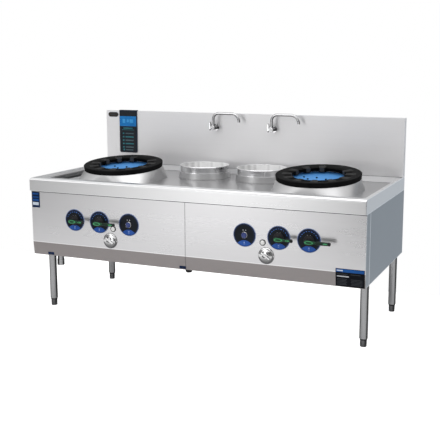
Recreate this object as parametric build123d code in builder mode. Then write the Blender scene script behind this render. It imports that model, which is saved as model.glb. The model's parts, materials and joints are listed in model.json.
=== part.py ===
from build123d import *
import math
import os

os.makedirs("parts", exist_ok=True)

# ---- driving dimensions, millimetres ----
# whole machine
length = 2000.0  # worktop, left to right
depth = 900.0  # worktop, front to back
work_height = 800.0  # floor to the worktop's rim
splash_height = 345.0  # backsplash above the rim
splash_depth = 38.0  # backsplash, front to back
body_height = 455.0  # the panels' lower edge under the rim
lever_reach = 40.0  # the levers stand this far proud of the worktop's front edge

# sheet and tube stock
top_sheet = 2.0
panel_sheet = 1.5
frame_tube = 30.0
frame_wall = 2.0
running_gap = 0.06  # radial play of a shaft in its bore
seam = 0.5  # gap where two panels meet

# worktop
apron = 75.0
apron_return = 25.0
bullnose = 15.0
edge_round = 3.0
front_rim = 60.0
side_rim = 22.0
deck_drop = 36.0
recess_corner = 14.0

# body panels
panel_setback = 15.0  # front panel behind the worktop's front edge
kick_height = 76.0  # lower band of the front panel, bent inwards
kick_lean = 8.0
panel_flange = 20.0
side_flange = 30.0
post_depth = 88.0  # side strip of each front corner post
post_return = 12.0
tray_lip = 20.0
tray_gap = 14.0  # tray edge to the outside of the body
vent_slots = 9
vent_slot_length = 120.0
vent_slot_width = 8.0
vent_pitch = 20.0
screw_count = 6
screw_pitch = 340.0
screw_head_radius = 4.0
screw_radius = 2.0
screw_length = 9.0

# legs and levelling feet
leg_radius = 22.5
leg_wall = 2.0
leg_inset_x = 35.0
leg_front_inset = 152.0
leg_rear_inset = 75.0
leg_flange_radius = 30.0
leg_flange_thick = 4.0
insert_depth = 30.0
foot_height = 45.0  # floor to the lower end of the leg tube
foot_radius = 17.5
foot_groove_radius = 14.5
foot_groove_low = 11.0
foot_groove_high = 16.0
foot_gap = 0.4
foot_edge = 2.0
foot_travel = 25.0
stem_radius = 8.0
stem_spare = 7.0

# inner frame
upright_inset = 110.0
rear_rail_inset = 58.0
top_bar_x = 375.0
base_bar_x = 250.0

# wok stations
wok_inset = 380.0  # wok centre from the end of the worktop
wok_from_front = 427.0
ring_rise = 60.0  # ring top centre above the rim
ring_tilt = 5.4  # degrees, the back is higher
ring_overhang = 5.0  # ring outside the collar's top
ring_height = 28.0
ring_taper = 3.0
ring_inner_radius = 186.0
ring_slope_radius = 214.0  # the top starts to fall inwards here
tooth_radius = 150.0
tooth_drop = 13.0  # fall of the top face at the tooth tips
tooth_root_width = 54.0
tooth_tip_width = 30.0
tooth_count = 12
tooth_start = 10.0  # degrees
tooth_left_open = 2  # the step with no tooth
collar_half = 240.0  # half side of the collar's rounded square foot
collar_corner = 160.0
collar_top_radius = 234.0
collar_top_flat = 1.0  # straight part left on each side of the collar's round top
collar_hole_radius = 176.0
deck_hole_radius = 205.0
bowl_rim_radius = 192.0
bowl_radius = 170.0
bowl_depth = 46.0
glass_thick = 4.0
coil_inner_radius = 30.0
coil_outer_radius = 140.0
coil_thick = 14.0
coil_gap = 0.5

# tail pots
tail_x = 190.0
tail_from_rear = 226.0
pot_radius = 148.0
pot_wall = 1.5
pot_depth = 170.0
pot_base_bevel = 12.0
pot_rise = 42.0  # lip above the rim
pot_lip_radius = 155.0
pot_lip_height = 7.0
pot_shoulder = 4.0
pot_shoulder_height = 3.0
tail_collar_gap = 1.0
tail_collar_base_radius = 158.0
tail_collar_top_radius = 153.0
tail_collar_foot = 5.0
tail_deck_gap = 2.0

# drain gutter at the left end
gutter_width = 62.0
gutter_gap = 2.0
gutter_end_gap = 12.0
gutter_floor_gap = 1.0  # trough above the worktop's return
gutter_flange = 6.0
drain_radius = 20.0
drain_socket_radius = 22.0
drain_socket_length = 35.0
drain_wall = 1.5
drain_inset = 63.0  # from the left end of the worktop
drain_from_front = 195.0
drain_below = 100.0  # lower end of the drain pipe under the panels

# power units
unit_width = 380.0
unit_depth = 400.0
unit_height = 180.0
unit_from_rear = 90.0
fan_radius = 60.0
fan_gap = 3.0
fan_hub_radius = 24.0
fan_width = 26.0
fan_blades = 7
blade_thick = 2.0
blade_tilt = 35.0
fan_behind_wall = 10.0
spindle_radius = 4.0
spider_width = 14.0
unit_slots = 7

# water supply and faucets
faucet_x = 195.0
faucet_height = 257.0  # faucet axis above the rim
faucet_stand_off = 44.0  # spout axis in front of the backsplash
faucet_body_radius = 14.5
faucet_body_length = 62.0
faucet_edge = 1.5
faucet_boss_wall = 3.0
faucet_boss_height = 24.0
faucet_stub_radius = 9.0
faucet_flange_radius = 20.0
faucet_flange_thick = 5.0
handle_pin_radius = 4.0
handle_pin_length = 6.0
handle_hub_radius = 7.0
handle_hub_length = 3.0
handle_width = 16.0
handle_thick = 7.0
handle_up = 36.0  # above the pin
handle_down = 17.0  # under the pin
handle_gap = 0.5
spout_radius = 8.0
spout_bore = 6.5
spout_socket = 14.0
spout_rise = 348.0  # spout centre line above the rim
spout_reach = 174.0
spout_bend = 38.0
spout_end_bend = 50.0
spout_drop = 53.0
pipe_radius = 9.0
pipe_bore = 7.0
inlet_nipple_radius = 10.5
inlet_nipple_length = 30.0
manifold_radius = 12.0
manifold_bore = 9.5
inlet_x = 60.0
inlet_below = 45.0  # lower end of the water inlet under the panels
pipe_hole_gap = 2.0

# cable gland
gland_x = -69.0
gland_from_front = 198.0
gland_radius = 21.0
gland_bore = 12.0
gland_below = 62.0
gland_above = 16.0
gland_neck_radius = 16.0
gland_nut_bevel = 5.0
gland_nut_height = 14.0

# status display
display_inset = 103.0  # from the left end of the worktop
display_width = 130.0
display_height = 280.0
display_thick = 8.0
display_corner = 10.0
display_hook = 5.0
display_border = 6.0
screen_thick = 2.5
screen_proud = 0.8

# controls on the front panels
plate_insets = (296.0, 460.0, 651.0)  # plate centres from the end of the worktop
plate_radius = 61.5
plate_thick = 3.0
plate_drop = 230.0  # plate centres below the rim
lever_short = 92.0  # pivot to the end of the grip
lever_long = 128.0
lever_hub_radius = 29.0
lever_hub_thick = 11.0
lever_boss_radius = 12.0
lever_arm_thick = 13.0
lever_head_radius = 11.5
lever_waist = 6.5
lever_waist_at = 44.0
lever_grip_radius = 10.0
lever_screw_radius = 4.5
lever_screw_depth = 3.0
lever_gap = 0.5
shaft_radius = 9.0
shaft_in_switch = 22.0
switch_box = 46.0
switch_box_depth = 40.0
hole_gap = 1.0
button_radius = 14.5
button_travel = 3.0
button_proud = 3.0
button_gap = 0.5
button_stem_radius = 4.0
button_stem_length = 14.0
button_edge = 1.5
bezel_radius = 18.5
bezel_thick = 6.0
push_body_radius = 13.5
push_body_length = 34.0
lamp_inset = 549.0
lamp_drop_z = 262.0
lamp_radius = 16.5
lamp_thick = 4.0
lamp_lens_radius = 12.5
lamp_lens_rise = 3.5
lamp_lens_taper = 25.0  # degrees
lamp_body_radius = 11.5
lamp_body_length = 22.0
knob_inset = 529.0
knob_drop = 331.0
knob_radius = 43.5
knob_skirt = 6.0
knob_skirt_round = 5.0
knob_hub_radius = 17.0
knob_hub_length = 17.0
knob_bar_length = 62.0
knob_bar_width = 13.0
knob_bar_thick = 9.0
knob_bar_angle = -35.0  # degrees
knob_shaft_radius = 7.0
knob_shaft_in_valve = 20.0
valve_radius = 19.0
valve_length = 58.0

# ---- places worked out from them ----
half = length / 2
front = -(depth + lever_reach) / 2 + lever_reach
rear = front + depth
middle = (front + rear) / 2
body_bottom = work_height - body_height
deck_top = work_height - deck_drop
deck_low = deck_top - top_sheet
top_low = work_height - apron
splash_face = rear - splash_depth
panel_face = front + panel_setback
panel_back = panel_face + panel_sheet
tray_low = body_bottom + panel_sheet
tray_top = tray_low + panel_sheet
leg_x = half - leg_inset_x
leg_front_y = front + leg_front_inset
leg_rear_y = rear - leg_rear_inset
upright_x = half - upright_inset
rail_front_y = leg_front_y
rail_rear_y = rear - rear_rail_inset
wok_x = half - wok_inset
wok_y = front + wok_from_front
ring_top = work_height + ring_rise
ring_radius = collar_top_radius + ring_overhang
tail_y = rear - tail_from_rear
gutter_x = -half + side_rim + gutter_gap + gutter_width / 2
recess_length = length - 2 * side_rim
recess_depth = depth - front_rim - splash_depth
recess_y = front + front_rim + recess_depth / 2
gutter_length = recess_depth - 2 * gutter_end_gap
gutter_side_x = gutter_x + gutter_width / 2
corner_seam_x = recess_length / 2 - recess_corner
corner_seam_y = recess_depth / 2 - recess_corner
deck_seam_x = (wok_x - deck_hole_radius + tail_x + pot_radius + tail_deck_gap) / 2
drain_x = -half + drain_inset
drain_y = front + drain_from_front
drain_end = body_bottom - drain_below
faucet_y = splash_face - faucet_stand_off
faucet_z = work_height + faucet_height
pipe_y = rear - splash_depth / 2
inlet_end = body_bottom - inlet_below
gland_y = front + gland_from_front
plate_z = work_height - plate_drop
lamp_z = work_height - lamp_drop_z
knob_z = work_height - knob_drop
plate_face = panel_face - plate_thick
sides = (("left", -1), ("right", 1))


def save(piece, name):
    piece.part.label = name
    export_step(piece.part, f"parts/{name}.step")


def facing(x, y, z):
    """A plane at the front of the machine: its normal points at the cook."""
    return Plane(origin=(x, y, z), x_dir=(1, 0, 0), z_dir=(0, -1, 0))


def ring_plane(x, lower=0.0):
    """The tilted plane of a wok ring's top, or one that much under it."""
    lean = math.radians(ring_tilt)
    normal = Vector(0, -math.sin(lean), math.cos(lean))
    centre = Vector(x, wok_y, ring_top) - normal * lower
    return Plane(origin=centre, x_dir=(1, 0, 0), z_dir=normal)


def ring_section(x):
    """The half section of a wok station: local x is the radius, local y is up the tilted axis."""
    flat = ring_plane(x)
    return Plane(origin=flat.origin, x_dir=(1, 0, 0), z_dir=-flat.y_dir)


def ring_axis(x):
    flat = ring_plane(x)
    return Axis(flat.origin, flat.z_dir)


def bowl_point(radius_of_curve, centre_height, angle):
    return (radius_of_curve * math.sin(angle), centre_height - radius_of_curve * math.cos(angle))


# ---- worktop: a formed rim with its recess walls and a ledge round the gutter, welded up from lengths ----
with BuildPart() as top_space:
    with BuildSketch(Plane.XY.offset(top_low + top_sheet)):
        with Locations((0, middle)):
            Rectangle(length - 2 * top_sheet, depth - 2 * top_sheet)
    extrude(amount=apron - 2 * top_sheet)
    front_fold = top_space.edges().filter_by(Axis.X).group_by(Axis.Z)[-1].sort_by(Axis.Y)[0]
    fillet(front_fold, bullnose - top_sheet)
    with BuildSketch(Plane.XY.offset(top_low)):
        with Locations((0, middle)):
            Rectangle(length - 2 * apron_return, depth - 2 * apron_return)
    extrude(amount=top_sheet)
    with BuildSketch(Plane.XY.offset(deck_low)):
        with Locations((0, recess_y)):
            RectangleRounded(
                recess_length + 2 * top_sheet, recess_depth + 2 * top_sheet, recess_corner + top_sheet
            )
    extrude(amount=deck_drop + top_sheet, mode=Mode.SUBTRACT)

with BuildPart() as worktop:
    with BuildSketch(Plane.XY.offset(top_low)):
        with Locations((0, middle)):
            Rectangle(length, depth)
    extrude(amount=apron)
    fillet(worktop.edges().filter_by(Axis.X).group_by(Axis.Z)[-1].sort_by(Axis.Y)[0], bullnose)
    fillet(worktop.edges().filter_by(Axis.Y).group_by(Axis.Z)[-1], edge_round)
    add(top_space.part, mode=Mode.SUBTRACT)
    with BuildSketch(Plane.XY.offset(deck_top)):
        with Locations((0, recess_y)):
            RectangleRounded(recess_length, recess_depth, recess_corner)
    extrude(amount=deck_drop, mode=Mode.SUBTRACT)
    with BuildSketch(Plane.XY.offset(deck_low)):
        with Locations((0, recess_y)):
            RectangleRounded(recess_length, recess_depth, recess_corner)
        with Locations((gutter_side_x - half, recess_y)):
            Rectangle(length, depth, mode=Mode.SUBTRACT)
        with Locations((gutter_x, recess_y)):
            Rectangle(gutter_width, gutter_length)
    extrude(amount=top_sheet, mode=Mode.SUBTRACT)
    with BuildSketch(Plane.XY.offset(top_low)):
        with Locations((inlet_x, pipe_y)):
            Circle(pipe_radius + pipe_hole_gap)
    extrude(amount=apron, mode=Mode.SUBTRACT)
    for seam_x in (-corner_seam_x, gutter_side_x, corner_seam_x):
        split(bisect_by=Plane.YZ.offset(seam_x), keep=Keep.BOTH)
    for seam_y in (recess_y - corner_seam_y, recess_y + corner_seam_y):
        split(bisect_by=Plane.XZ.offset(-seam_y), keep=Keep.BOTH)
save(worktop, "worktop")

# ---- deck plate: one sheet for each wok seat and each pot, welded together right of the gutter ----
with BuildPart() as deck_plate:
    with BuildSketch(Plane.XY.offset(deck_low)):
        with Locations((0, recess_y)):
            RectangleRounded(recess_length, recess_depth, recess_corner)
        with Locations((gutter_side_x - half, recess_y)):
            Rectangle(length, depth, mode=Mode.SUBTRACT)
        with Locations((-wok_x, wok_y), (wok_x, wok_y)):
            Circle(deck_hole_radius, mode=Mode.SUBTRACT)
        with Locations((-tail_x, tail_y), (tail_x, tail_y)):
            Circle(pot_radius + tail_deck_gap, mode=Mode.SUBTRACT)
    extrude(amount=top_sheet)
    for seam_x in (-deck_seam_x, 0, deck_seam_x):
        split(bisect_by=Plane.YZ.offset(seam_x), keep=Keep.BOTH)
save(deck_plate, "deck_plate")

# ---- backsplash: a folded front shell and a flat rear cover ----
shell_depth = splash_depth - panel_sheet
with BuildPart() as backsplash_front:
    with BuildSketch(Plane.XY.offset(work_height)):
        with Locations((0, splash_face + shell_depth / 2)):
            Rectangle(length, shell_depth)
    extrude(amount=splash_height)
    with BuildSketch(Plane.XY.offset(work_height)):
        with Locations((0, splash_face + panel_sheet + shell_depth / 2)):
            Rectangle(length - 2 * panel_sheet, shell_depth)
    extrude(amount=splash_height - panel_sheet, mode=Mode.SUBTRACT)
    with BuildSketch(facing(0, splash_face + panel_sheet, faucet_z)):
        with Locations((-faucet_x, 0), (faucet_x, 0)):
            Circle(faucet_stub_radius + hole_gap)
    extrude(amount=panel_sheet, mode=Mode.SUBTRACT)
save(backsplash_front, "backsplash_front")

with BuildPart() as backsplash_cover:
    with BuildSketch(facing(0, rear, work_height + splash_height / 2)):
        Rectangle(length, splash_height)
    extrude(amount=panel_sheet)
save(backsplash_cover, "backsplash_cover")

# ---- front panels: each a flat face, a band bent inwards and two flanges ----
for side, sign in sides:
    with BuildPart() as front_panel:
        with BuildSketch(Plane.YZ.offset(seam / 2 if sign > 0 else -half)):
            with BuildLine():
                Polyline(
                    (panel_face + panel_flange, top_low),
                    (panel_face, top_low),
                    (panel_face, body_bottom + kick_height),
                    (panel_face + kick_lean, body_bottom),
                    (panel_face + kick_lean + panel_flange, body_bottom),
                    (panel_face + kick_lean + panel_flange, body_bottom + panel_sheet),
                    (panel_face + kick_lean + panel_sheet, body_bottom + panel_sheet),
                    (panel_face + panel_sheet, body_bottom + kick_height),
                    (panel_face + panel_sheet, top_low - panel_sheet),
                    (panel_face + panel_flange, top_low - panel_sheet),
                    close=True,
                )
            make_face()
        extrude(amount=half - seam / 2)
        with BuildSketch(facing(0, panel_back, 0)):
            with Locations(
                (sign * (half - plate_insets[0]), plate_z), (sign * (half - plate_insets[1]), plate_z)
            ):
                Circle(shaft_radius + hole_gap)
            with Locations((sign * (half - plate_insets[2]), plate_z)):
                Circle(push_body_radius + hole_gap)
            with Locations((sign * (half - lamp_inset), lamp_z)):
                Circle(lamp_body_radius + hole_gap)
            with Locations((sign * (half - knob_inset), knob_z)):
                Circle(knob_shaft_radius + hole_gap)
        extrude(amount=panel_sheet, mode=Mode.SUBTRACT)
    save(front_panel, f"front_panel_{side}")

# ---- front corner posts: channels whose web is the narrow strip on each side ----
post_front = panel_back
post_rear = post_front + post_depth
for side, sign in sides:
    outer = sign * half
    inner = sign * (half - panel_sheet)
    tip = sign * (half - post_return)
    with BuildPart() as corner_post:
        with BuildSketch(Plane.XY.offset(body_bottom)):
            with BuildLine():
                Polyline(
                    (tip, post_front),
                    (outer, post_front),
                    (outer, post_rear),
                    (tip, post_rear),
                    (tip, post_rear - panel_sheet),
                    (inner, post_rear - panel_sheet),
                    (inner, post_front + panel_sheet),
                    (tip, post_front + panel_sheet),
                    close=True,
                )
            make_face()
        extrude(amount=top_low - body_bottom)
        # room for the front panel's bent band and its two flanges
        with BuildSketch(Plane.YZ.offset(-half)):
            with BuildLine():
                Polyline(
                    (panel_face, body_bottom + kick_height + seam),
                    (post_front, body_bottom + kick_height + seam),
                    (post_front + kick_lean + seam, body_bottom - seam),
                    (panel_face, body_bottom - seam),
                    close=True,
                )
            make_face()
            with Locations((panel_face, body_bottom)):
                Rectangle(kick_lean + panel_flange + seam, panel_sheet, align=(Align.MIN, Align.MIN))
            with Locations((panel_face, top_low - panel_sheet)):
                Rectangle(panel_flange + seam, panel_sheet, align=(Align.MIN, Align.MIN))
        extrude(amount=length, mode=Mode.SUBTRACT)
    save(corner_post, f"corner_post_{side}")

# ---- side panels, from the corner posts to the rear ----
for side, sign in sides:
    with BuildPart() as side_panel:
        with BuildSketch(Plane.XZ.offset(-(post_rear + seam))):
            with BuildLine():
                Polyline(
                    (sign * half, body_bottom),
                    (sign * half, top_low),
                    (sign * (half - side_flange), top_low),
                    (sign * (half - side_flange), top_low - panel_sheet),
                    (sign * (half - panel_sheet), top_low - panel_sheet),
                    (sign * (half - panel_sheet), body_bottom + panel_sheet),
                    (sign * (half - side_flange), body_bottom + panel_sheet),
                    (sign * (half - side_flange), body_bottom),
                    close=True,
                )
            make_face()
        extrude(amount=-(rear - panel_sheet - post_rear - seam))
    save(side_panel, f"side_panel_{side}")

# ---- back panel with two groups of vent slots behind the power units ----
screw_z = tray_top + tray_lip / 2
screw_places = [((place - (screw_count - 1) / 2) * screw_pitch, 0) for place in range(screw_count)]
with BuildPart() as back_panel:
    with BuildSketch(facing(0, rear, (body_bottom + top_low) / 2)):
        Rectangle(length, top_low - body_bottom)
        with Locations((-wok_x, 0), (wok_x, 0)):
            with GridLocations(0, vent_pitch, 1, vent_slots):
                SlotOverall(vent_slot_length, vent_slot_width, mode=Mode.SUBTRACT)
    extrude(amount=panel_sheet)
    with BuildSketch(facing(0, rear, screw_z)):
        with Locations(*screw_places):
            Circle(screw_head_radius)
    extrude(amount=panel_sheet, mode=Mode.SUBTRACT)
save(back_panel, "back_panel")

with BuildPart() as panel_screws:
    with BuildSketch(facing(0, rear, screw_z)):
        with Locations(*screw_places):
            Circle(screw_head_radius - seam / 2)
    extrude(amount=panel_sheet)
    with BuildSketch(facing(0, rear, screw_z)):
        with Locations(*screw_places):
            Circle(screw_radius)
    extrude(amount=screw_length)
save(panel_screws, "panel_screws")

# ---- bottom tray: a plate and four upright lips ----
tray_length = length - 2 * tray_gap
tray_front = panel_back + kick_lean + panel_sheet + seam
tray_depth = rear - panel_sheet - seam - tray_front
tray_y = tray_front + tray_depth / 2
with BuildPart() as bottom_tray:
    with BuildSketch(Plane.XY.offset(tray_low)):
        with Locations((0, tray_y)):
            Rectangle(tray_length, tray_depth)
    extrude(amount=panel_sheet)
    with BuildSketch(Plane.XY.offset(tray_low)):
        with Locations((drain_x, drain_y)):
            Circle(drain_radius + hole_gap)
        with Locations((inlet_x, pipe_y)):
            Circle(pipe_radius + hole_gap)
        with Locations((gland_x, gland_y)):
            Circle(gland_neck_radius + running_gap)
    extrude(amount=panel_sheet, mode=Mode.SUBTRACT)
save(bottom_tray, "bottom_tray")

lip_y = (tray_depth - panel_sheet) / 2
lip_x = (tray_length - panel_sheet) / 2
with BuildPart() as tray_lips:
    with BuildSketch(Plane.XY.offset(tray_top)):
        with Locations((0, tray_y - lip_y), (0, tray_y + lip_y)):
            Rectangle(tray_length, panel_sheet)
        with Locations((-lip_x, tray_y), (lip_x, tray_y)):
            Rectangle(panel_sheet, tray_depth - 2 * panel_sheet - 2 * seam)
    extrude(amount=tray_lip)
    with BuildSketch(facing(0, rear, screw_z)):
        with Locations(*screw_places):
            Circle(screw_radius + running_gap)
    extrude(amount=screw_length, mode=Mode.SUBTRACT)
save(tray_lips, "tray_lips")

# ---- legs: tubes with a welded flange above and a threaded insert below ----
leg_places = [(x, y) for x in (-leg_x, leg_x) for y in (leg_front_y, leg_rear_y)]
with BuildPart() as legs:
    with BuildSketch(Plane.XY.offset(foot_height)):
        with Locations(*leg_places):
            Circle(leg_radius)
    extrude(amount=body_bottom - foot_height)
    with BuildSketch(Plane.XY.offset(body_bottom - leg_flange_thick)):
        with Locations(*leg_places):
            Circle(leg_flange_radius)
    extrude(amount=leg_flange_thick)
    with BuildSketch(Plane.XY.offset(foot_height + insert_depth)):
        with Locations(*leg_places):
            Circle(leg_radius - leg_wall)
    extrude(amount=body_bottom - foot_height - insert_depth - leg_flange_thick, mode=Mode.SUBTRACT)
    with BuildSketch(Plane.XY.offset(foot_height)):
        with Locations(*leg_places):
            Circle(stem_radius + running_gap)
    extrude(amount=insert_depth, mode=Mode.SUBTRACT)
save(legs, "legs")

# ---- levelling feet: each turns out of its leg on a threaded stem ----
foot_top = foot_height - foot_gap
stem_top = foot_height + insert_depth + foot_travel + stem_spare
for fore, leg_y in (("front", leg_front_y), ("rear", leg_rear_y)):
    for side, sign in sides:
        foot_axis = Axis((sign * leg_x, leg_y, 0), (0, 0, 1))
        with BuildPart() as foot:
            with BuildSketch(facing(sign * leg_x, leg_y, 0)):
                with BuildLine():
                    Polyline(
                        (0, 0),
                        (foot_radius - foot_edge, 0),
                        (foot_radius, foot_edge),
                        (foot_radius, foot_groove_low),
                        (foot_groove_radius, foot_groove_low + foot_edge / 2),
                        (foot_groove_radius, foot_groove_high - foot_edge / 2),
                        (foot_radius, foot_groove_high),
                        (foot_radius, foot_top),
                        (stem_radius, foot_top),
                        (stem_radius, stem_top),
                        (0, stem_top),
                        close=True,
                    )
                make_face()
            revolve(axis=foot_axis)
        save(foot, f"foot_{fore}_{side}")

# ---- inner frame of square tube: a base that lies in the tray, and uprights with top rails ----
tube_bore = frame_tube - 2 * frame_wall
base_top = tray_top + frame_tube
rail_low = deck_low - frame_tube
rail_span = rail_rear_y - rail_front_y - frame_tube
base_rail_length = 2 * leg_x
top_rail_length = 2 * upright_x + frame_tube


base_level = tray_top + frame_tube / 2
upper_level = rail_low + frame_tube / 2
base_bars = (-upright_x, -base_bar_x, base_bar_x, upright_x)
upper_bars = (-upright_x, -top_bar_x, 0, top_bar_x, upright_x)
corners = [(x, y) for x in (-upright_x, upright_x) for y in (rail_front_y, rail_rear_y)]

with BuildPart() as base_frame:
    with BuildSketch(Plane.YZ.offset(-base_rail_length / 2)):
        with Locations((rail_front_y, base_level), (rail_rear_y, base_level)):
            Rectangle(frame_tube, frame_tube)
            Rectangle(tube_bore, tube_bore, mode=Mode.SUBTRACT)
    extrude(amount=base_rail_length)
    with BuildSketch(Plane.XZ.offset(-(rail_front_y + frame_tube / 2))):
        with Locations(*[(bar_x, base_level) for bar_x in base_bars]):
            Rectangle(frame_tube, frame_tube)
            Rectangle(tube_bore, tube_bore, mode=Mode.SUBTRACT)
    extrude(amount=-rail_span)
save(base_frame, "base_frame")

with BuildPart() as upper_frame:
    with BuildSketch(Plane.YZ.offset(-top_rail_length / 2)):
        with Locations((rail_front_y, upper_level), (rail_rear_y, upper_level)):
            Rectangle(frame_tube, frame_tube)
            Rectangle(tube_bore, tube_bore, mode=Mode.SUBTRACT)
    extrude(amount=top_rail_length)
    with BuildSketch(Plane.XZ.offset(-(rail_front_y + frame_tube / 2))):
        with Locations(*[(bar_x, upper_level) for bar_x in upper_bars]):
            Rectangle(frame_tube, frame_tube)
            Rectangle(tube_bore, tube_bore, mode=Mode.SUBTRACT)
    extrude(amount=-rail_span)
    with BuildSketch(Plane.XY.offset(base_top)):
        with Locations(*corners):
            Rectangle(frame_tube, frame_tube)
            Rectangle(tube_bore, tube_bore, mode=Mode.SUBTRACT)
    extrude(amount=rail_low - base_top)
save(upper_frame, "upper_frame")

# ---- wok stations ----
seat = -(ring_height + top_sheet)  # underside of the collar's flange, along the tilted axis
curve = (bowl_radius**2 + bowl_depth**2) / (2 * bowl_depth)
curve_centre = seat - bowl_depth + curve
rim_angle = math.asin(bowl_radius / curve)
outer_curve = curve + glass_thick
outer_angle = math.acos((curve_centre - seat + glass_thick) / outer_curve)
coil_curve = outer_curve + coil_gap
coil_angles = (math.asin(coil_inner_radius / coil_curve), math.asin(coil_outer_radius / coil_curve))
slope = tooth_drop / (ring_slope_radius - tooth_radius)
for side, sign in sides:
    x = sign * wok_x
    with BuildPart() as collar_space:
        with BuildSketch(Plane.XY.offset(deck_top)):
            with Locations((x, wok_y)):
                inner_side = 2 * (collar_half - top_sheet)
                RectangleRounded(inner_side, inner_side, collar_corner - top_sheet)
        with BuildSketch(ring_plane(x, ring_height + top_sheet)):
            inner_width = 2 * (collar_top_radius - top_sheet)
            RectangleRounded(inner_width, inner_width, inner_width / 2 - collar_top_flat)
        loft()

    with BuildPart() as wok_collar:
        with BuildSketch(Plane.XY.offset(deck_top)):
            with Locations((x, wok_y)):
                RectangleRounded(2 * collar_half, 2 * collar_half, collar_corner)
        with BuildSketch(ring_plane(x, ring_height)):
            top_width = 2 * collar_top_radius
            RectangleRounded(top_width, top_width, collar_top_radius - collar_top_flat)
        loft()
        add(collar_space.part, mode=Mode.SUBTRACT)
        with BuildSketch(ring_plane(x, ring_height)):
            Circle(collar_hole_radius)
        extrude(amount=-2 * top_sheet, mode=Mode.SUBTRACT)
    save(wok_collar, f"wok_collar_{side}")

    with BuildPart() as wok_ring:
        with BuildSketch(ring_section(x)):
            with BuildLine():
                Polyline(
                    (ring_inner_radius, -ring_height),
                    (ring_radius - ring_taper, -ring_height),
                    (ring_radius, -ring_taper),
                    (ring_radius - ring_taper, 0),
                    (ring_inner_radius, 0),
                    close=True,
                )
            make_face()
        revolve(axis=ring_axis(x))
        with BuildSketch(ring_plane(x, ring_height)):
            for step in range(tooth_count):
                if step != tooth_left_open:
                    turn = Location((0, 0, 0), (0, 0, tooth_start + step * 360 / tooth_count))
                    with Locations(turn):
                        Polygon(
                            (ring_inner_radius + ring_taper, -tooth_root_width / 2),
                            (ring_inner_radius + ring_taper, tooth_root_width / 2),
                            (tooth_radius, tooth_tip_width / 2),
                            (tooth_radius, -tooth_tip_width / 2),
                            align=None,
                        )
        extrude(amount=ring_height)
        with BuildSketch(ring_section(x)):
            with BuildLine():
                Polyline(
                    (ring_slope_radius, 0),
                    (ring_slope_radius, ring_taper),
                    (tooth_radius - ring_taper, ring_taper),
                    (tooth_radius - ring_taper, -tooth_drop - slope * ring_taper),
                    close=True,
                )
            make_face()
        revolve(axis=ring_axis(x), mode=Mode.SUBTRACT)
    save(wok_ring, f"wok_ring_{side}")

    with BuildPart() as wok_bowl:
        with BuildSketch(ring_section(x)):
            with BuildLine():
                ThreePointArc(
                    (0, seat - bowl_depth),
                    bowl_point(curve, curve_centre, rim_angle / 2),
                    (bowl_radius, seat),
                )
                Polyline(
                    (bowl_radius, seat),
                    (bowl_rim_radius, seat),
                    (bowl_rim_radius, seat - glass_thick),
                    bowl_point(outer_curve, curve_centre, outer_angle),
                )
                ThreePointArc(
                    bowl_point(outer_curve, curve_centre, outer_angle),
                    bowl_point(outer_curve, curve_centre, outer_angle / 2),
                    (0, seat - bowl_depth - glass_thick),
                )
                Line((0, seat - bowl_depth - glass_thick), (0, seat - bowl_depth))
            make_face()
        revolve(axis=ring_axis(x))
    save(wok_bowl, f"wok_bowl_{side}")

near, far = coil_angles
with BuildPart() as induction_coils:
    for side, sign in sides:
        x = sign * wok_x
        with BuildSketch(ring_section(x)):
            with BuildLine():
                ThreePointArc(
                    bowl_point(coil_curve, curve_centre, near),
                    bowl_point(coil_curve, curve_centre, (near + far) / 2),
                    bowl_point(coil_curve, curve_centre, far),
                )
                Line(
                    bowl_point(coil_curve, curve_centre, far),
                    bowl_point(coil_curve + coil_thick, curve_centre, far),
                )
                ThreePointArc(
                    bowl_point(coil_curve + coil_thick, curve_centre, far),
                    bowl_point(coil_curve + coil_thick, curve_centre, (near + far) / 2),
                    bowl_point(coil_curve + coil_thick, curve_centre, near),
                )
                Line(
                    bowl_point(coil_curve + coil_thick, curve_centre, near),
                    bowl_point(coil_curve, curve_centre, near),
                )
            make_face()
        revolve(axis=ring_axis(x))
save(induction_coils, "induction_coils")

# ---- power units on the tray, each with a fan at its rear ----
unit_rear = rear - unit_from_rear
unit_y = unit_rear - unit_depth / 2
fan_z = tray_top + unit_height / 2
fan_rear = unit_rear - panel_sheet - fan_behind_wall
blade_lean = math.radians(blade_tilt)
blade_chord = (fan_width - 2 * blade_thick) / math.cos(blade_lean)
with BuildPart() as power_units:
    for side, sign in sides:
        x = sign * wok_x
        with BuildSketch(Plane.XY.offset(tray_top)):
            with Locations((x, unit_y)):
                Rectangle(unit_width, unit_depth)
        extrude(amount=unit_height)
        with BuildSketch(Plane.XY.offset(tray_top + panel_sheet)):
            with Locations((x, unit_y)):
                Rectangle(unit_width - 2 * panel_sheet, unit_depth - 2 * panel_sheet)
        extrude(amount=unit_height - 2 * panel_sheet, mode=Mode.SUBTRACT)
        with BuildSketch(facing(x, unit_rear, fan_z)):
            Circle(fan_radius + fan_gap)
        extrude(amount=panel_sheet, mode=Mode.SUBTRACT)
        with BuildSketch(facing(x, unit_y - unit_depth / 2 + panel_sheet, fan_z)):
            with GridLocations(0, vent_pitch, 1, unit_slots):
                SlotOverall(vent_slot_length, vent_slot_width)
        extrude(amount=panel_sheet, mode=Mode.SUBTRACT)
        with BuildSketch(facing(x, unit_rear, fan_z)):
            Rectangle(2 * (fan_radius + fan_gap) + 2 * panel_sheet, spider_width)
            Circle(fan_hub_radius)
        extrude(amount=panel_sheet)
        with BuildSketch(facing(x, unit_rear, fan_z)):
            Circle(spindle_radius)
        extrude(amount=panel_sheet + fan_behind_wall + fan_width)
save(power_units, "power_units")

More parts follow.
